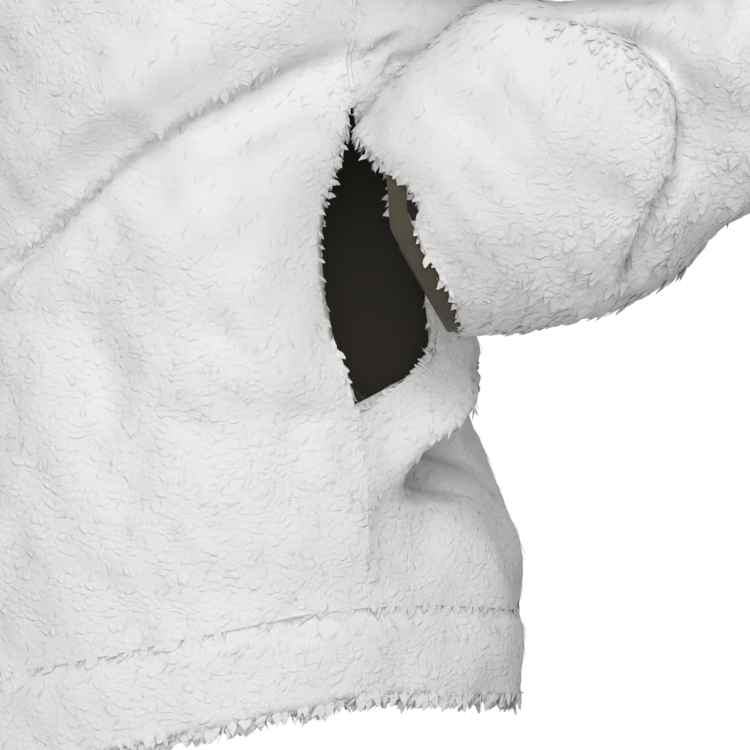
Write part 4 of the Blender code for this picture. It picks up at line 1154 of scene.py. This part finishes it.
# ---------------------------------------------------------------- operators
class PULLOVER_OT_body(bpy.types.Operator):
    """Make the front and the back of the body"""

    bl_idname = "pullover.body"
    bl_label = "Front and back"

    def execute(self, context):
        dress_nodes(("front_panel", "back_panel"))
        return {"FINISHED"}


class PULLOVER_OT_bands(bpy.types.Operator):
    """Make the folded hem band and the neckband"""

    bl_idname = "pullover.bands"
    bl_label = "Hem band and neckband"

    def execute(self, context):
        dress_nodes(("hem_band", "neckband"))
        return {"FINISHED"}


class PULLOVER_OT_sleeves(bpy.types.Operator):
    """Make both sleeves"""

    bl_idname = "pullover.sleeves"
    bl_label = "Sleeves"

    def execute(self, context):
        dress_nodes(("left_sleeve", "right_sleeve"))
        return {"FINISHED"}


class PULLOVER_OT_bindings(bpy.types.Operator):
    """Make the elastic bindings of the cuffs"""

    bl_idname = "pullover.bindings"
    bl_label = "Cuff bindings"

    def execute(self, context):
        dress_plain(BINDINGS, binding_material(context.scene.pullover_trim))
        return {"FINISHED"}


class PULLOVER_OT_pockets(bpy.types.Operator):
    """Make the two side pocket bags"""

    bl_idname = "pullover.pockets"
    bl_label = "Pocket bags"

    def execute(self, context):
        dress_plain(POCKET_BAGS, pocketing_material(context.scene.pullover_trim))
        return {"FINISHED"}


class PULLOVER_OT_stage(bpy.types.Operator):
    """Lay the floor and set the light and the camera"""

    bl_idname = "pullover.stage"
    bl_label = "Stage"

    def execute(self, context):
        settings = context.scene.pullover_stage
        make_floor(settings)
        make_light(settings)
        make_camera(settings)
        return {"FINISHED"}


def make_floor(settings):
    """A pale disc."""
    bm = bmesh.new()
    bmesh.ops.create_circle(bm, cap_ends=True, segments=FLOOR_SEGMENTS, radius=FLOOR_RADIUS)
    mesh = bpy.data.meshes.new("floor")
    bm.to_mesh(mesh)
    bm.free()
    mesh.transform(Matrix.Translation((0.0, 0.0, -settings.floor_drop)))
    material, _, _ = new_material("floor_pale", FLOOR_COLOUR, 0.9)
    mesh.materials.append(material)
    add_object("floor", mesh)


def make_light(settings):
    """A dim surround, seen as a white backdrop, and soft lights from above, by the camera and behind."""
    world = bpy.data.worlds.new("surround")
    world.use_nodes = True
    background = world.node_tree.nodes["Background"]
    background.inputs["Color"].default_value = (1.0, 1.0, 1.0, 1.0)
    nodes = Nodes(world.node_tree)
    seen = nodes.add("ShaderNodeLightPath")
    dimmed = nodes.add("ShaderNodeMapRange", {"Value": seen.outputs["Is Camera Ray"],
                                              "To Min": settings.surround, "To Max": settings.backdrop})
    nodes.tree.links.new(dimmed.outputs["Result"], background.inputs["Strength"])
    bpy.context.scene.world = world
    for name, came_from in LAMPS.items():
        lamp = bpy.data.lights.new(name, "SUN")
        lamp.energy = getattr(settings, name + "_strength")
        lamp.angle = settings.lamp_spread
        lamp.color = LAMP_COLOUR
        thing = bpy.data.objects.new(name, lamp)
        thing.rotation_euler = (-Vector(came_from)).to_track_quat("-Z", "Y").to_euler()
        bpy.context.scene.collection.objects.link(thing)


def make_camera(settings):
    """A long lens at the wearer's left hip."""
    lens = bpy.data.cameras.new("camera")
    lens.lens = settings.focal_length
    lens.sensor_width = SENSOR_WIDTH
    camera = bpy.data.objects.new("camera", lens)
    back = Vector(CAMERA_BACK).normalized()
    camera.location = Vector(CAMERA_AIM) + CAMERA_DISTANCE * back
    camera.rotation_euler = (-back).to_track_quat("-Z", "Y").to_euler()
    bpy.context.scene.collection.objects.link(camera)
    bpy.context.scene.camera = camera
    bpy.context.scene.view_settings.view_transform = "Standard"


# ---------------------------------------------------------------- panel and registration
OPERATORS = (PULLOVER_OT_body, PULLOVER_OT_bands, PULLOVER_OT_sleeves, PULLOVER_OT_bindings,
             PULLOVER_OT_pockets, PULLOVER_OT_stage)
GROUPS = {"pullover_fleece": FleeceSettings, "pullover_trim": TrimSettings, "pullover_stage": StageSettings}


class PULLOVER_PT_panel(bpy.types.Panel):
    """Settings and steps of the pullover"""

    bl_label = "Sherpa fleece pullover"
    bl_idname = "PULLOVER_PT_panel"
    bl_space_type = "VIEW_3D"
    bl_region_type = "UI"
    bl_category = "Pullover"

    def draw(self, context):
        for name, group in GROUPS.items():
            box = self.layout.box()
            for key in group.__annotations__:
                box.prop(getattr(context.scene, name), key)
        for operator in OPERATORS:
            self.layout.operator(operator.bl_idname)


def register():
    for group in GROUPS.values():
        bpy.utils.register_class(group)
    for operator in OPERATORS:
        bpy.utils.register_class(operator)
    bpy.utils.register_class(PULLOVER_PT_panel)
    for name, group in GROUPS.items():
        setattr(bpy.types.Scene, name, bpy.props.PointerProperty(type=group))


def unregister():
    for name in GROUPS:
        delattr(bpy.types.Scene, name)
    bpy.utils.unregister_class(PULLOVER_PT_panel)
    for operator in reversed(OPERATORS):
        bpy.utils.unregister_class(operator)
    for group in GROUPS.values():
        bpy.utils.unregister_class(group)


def main():
    register()
    bpy.ops.pullover.body()
    bpy.ops.pullover.bands()
    bpy.ops.pullover.sleeves()
    bpy.ops.pullover.bindings()
    bpy.ops.pullover.pockets()
    bpy.ops.pullover.stage()


if __name__ == "__main__":
    main()
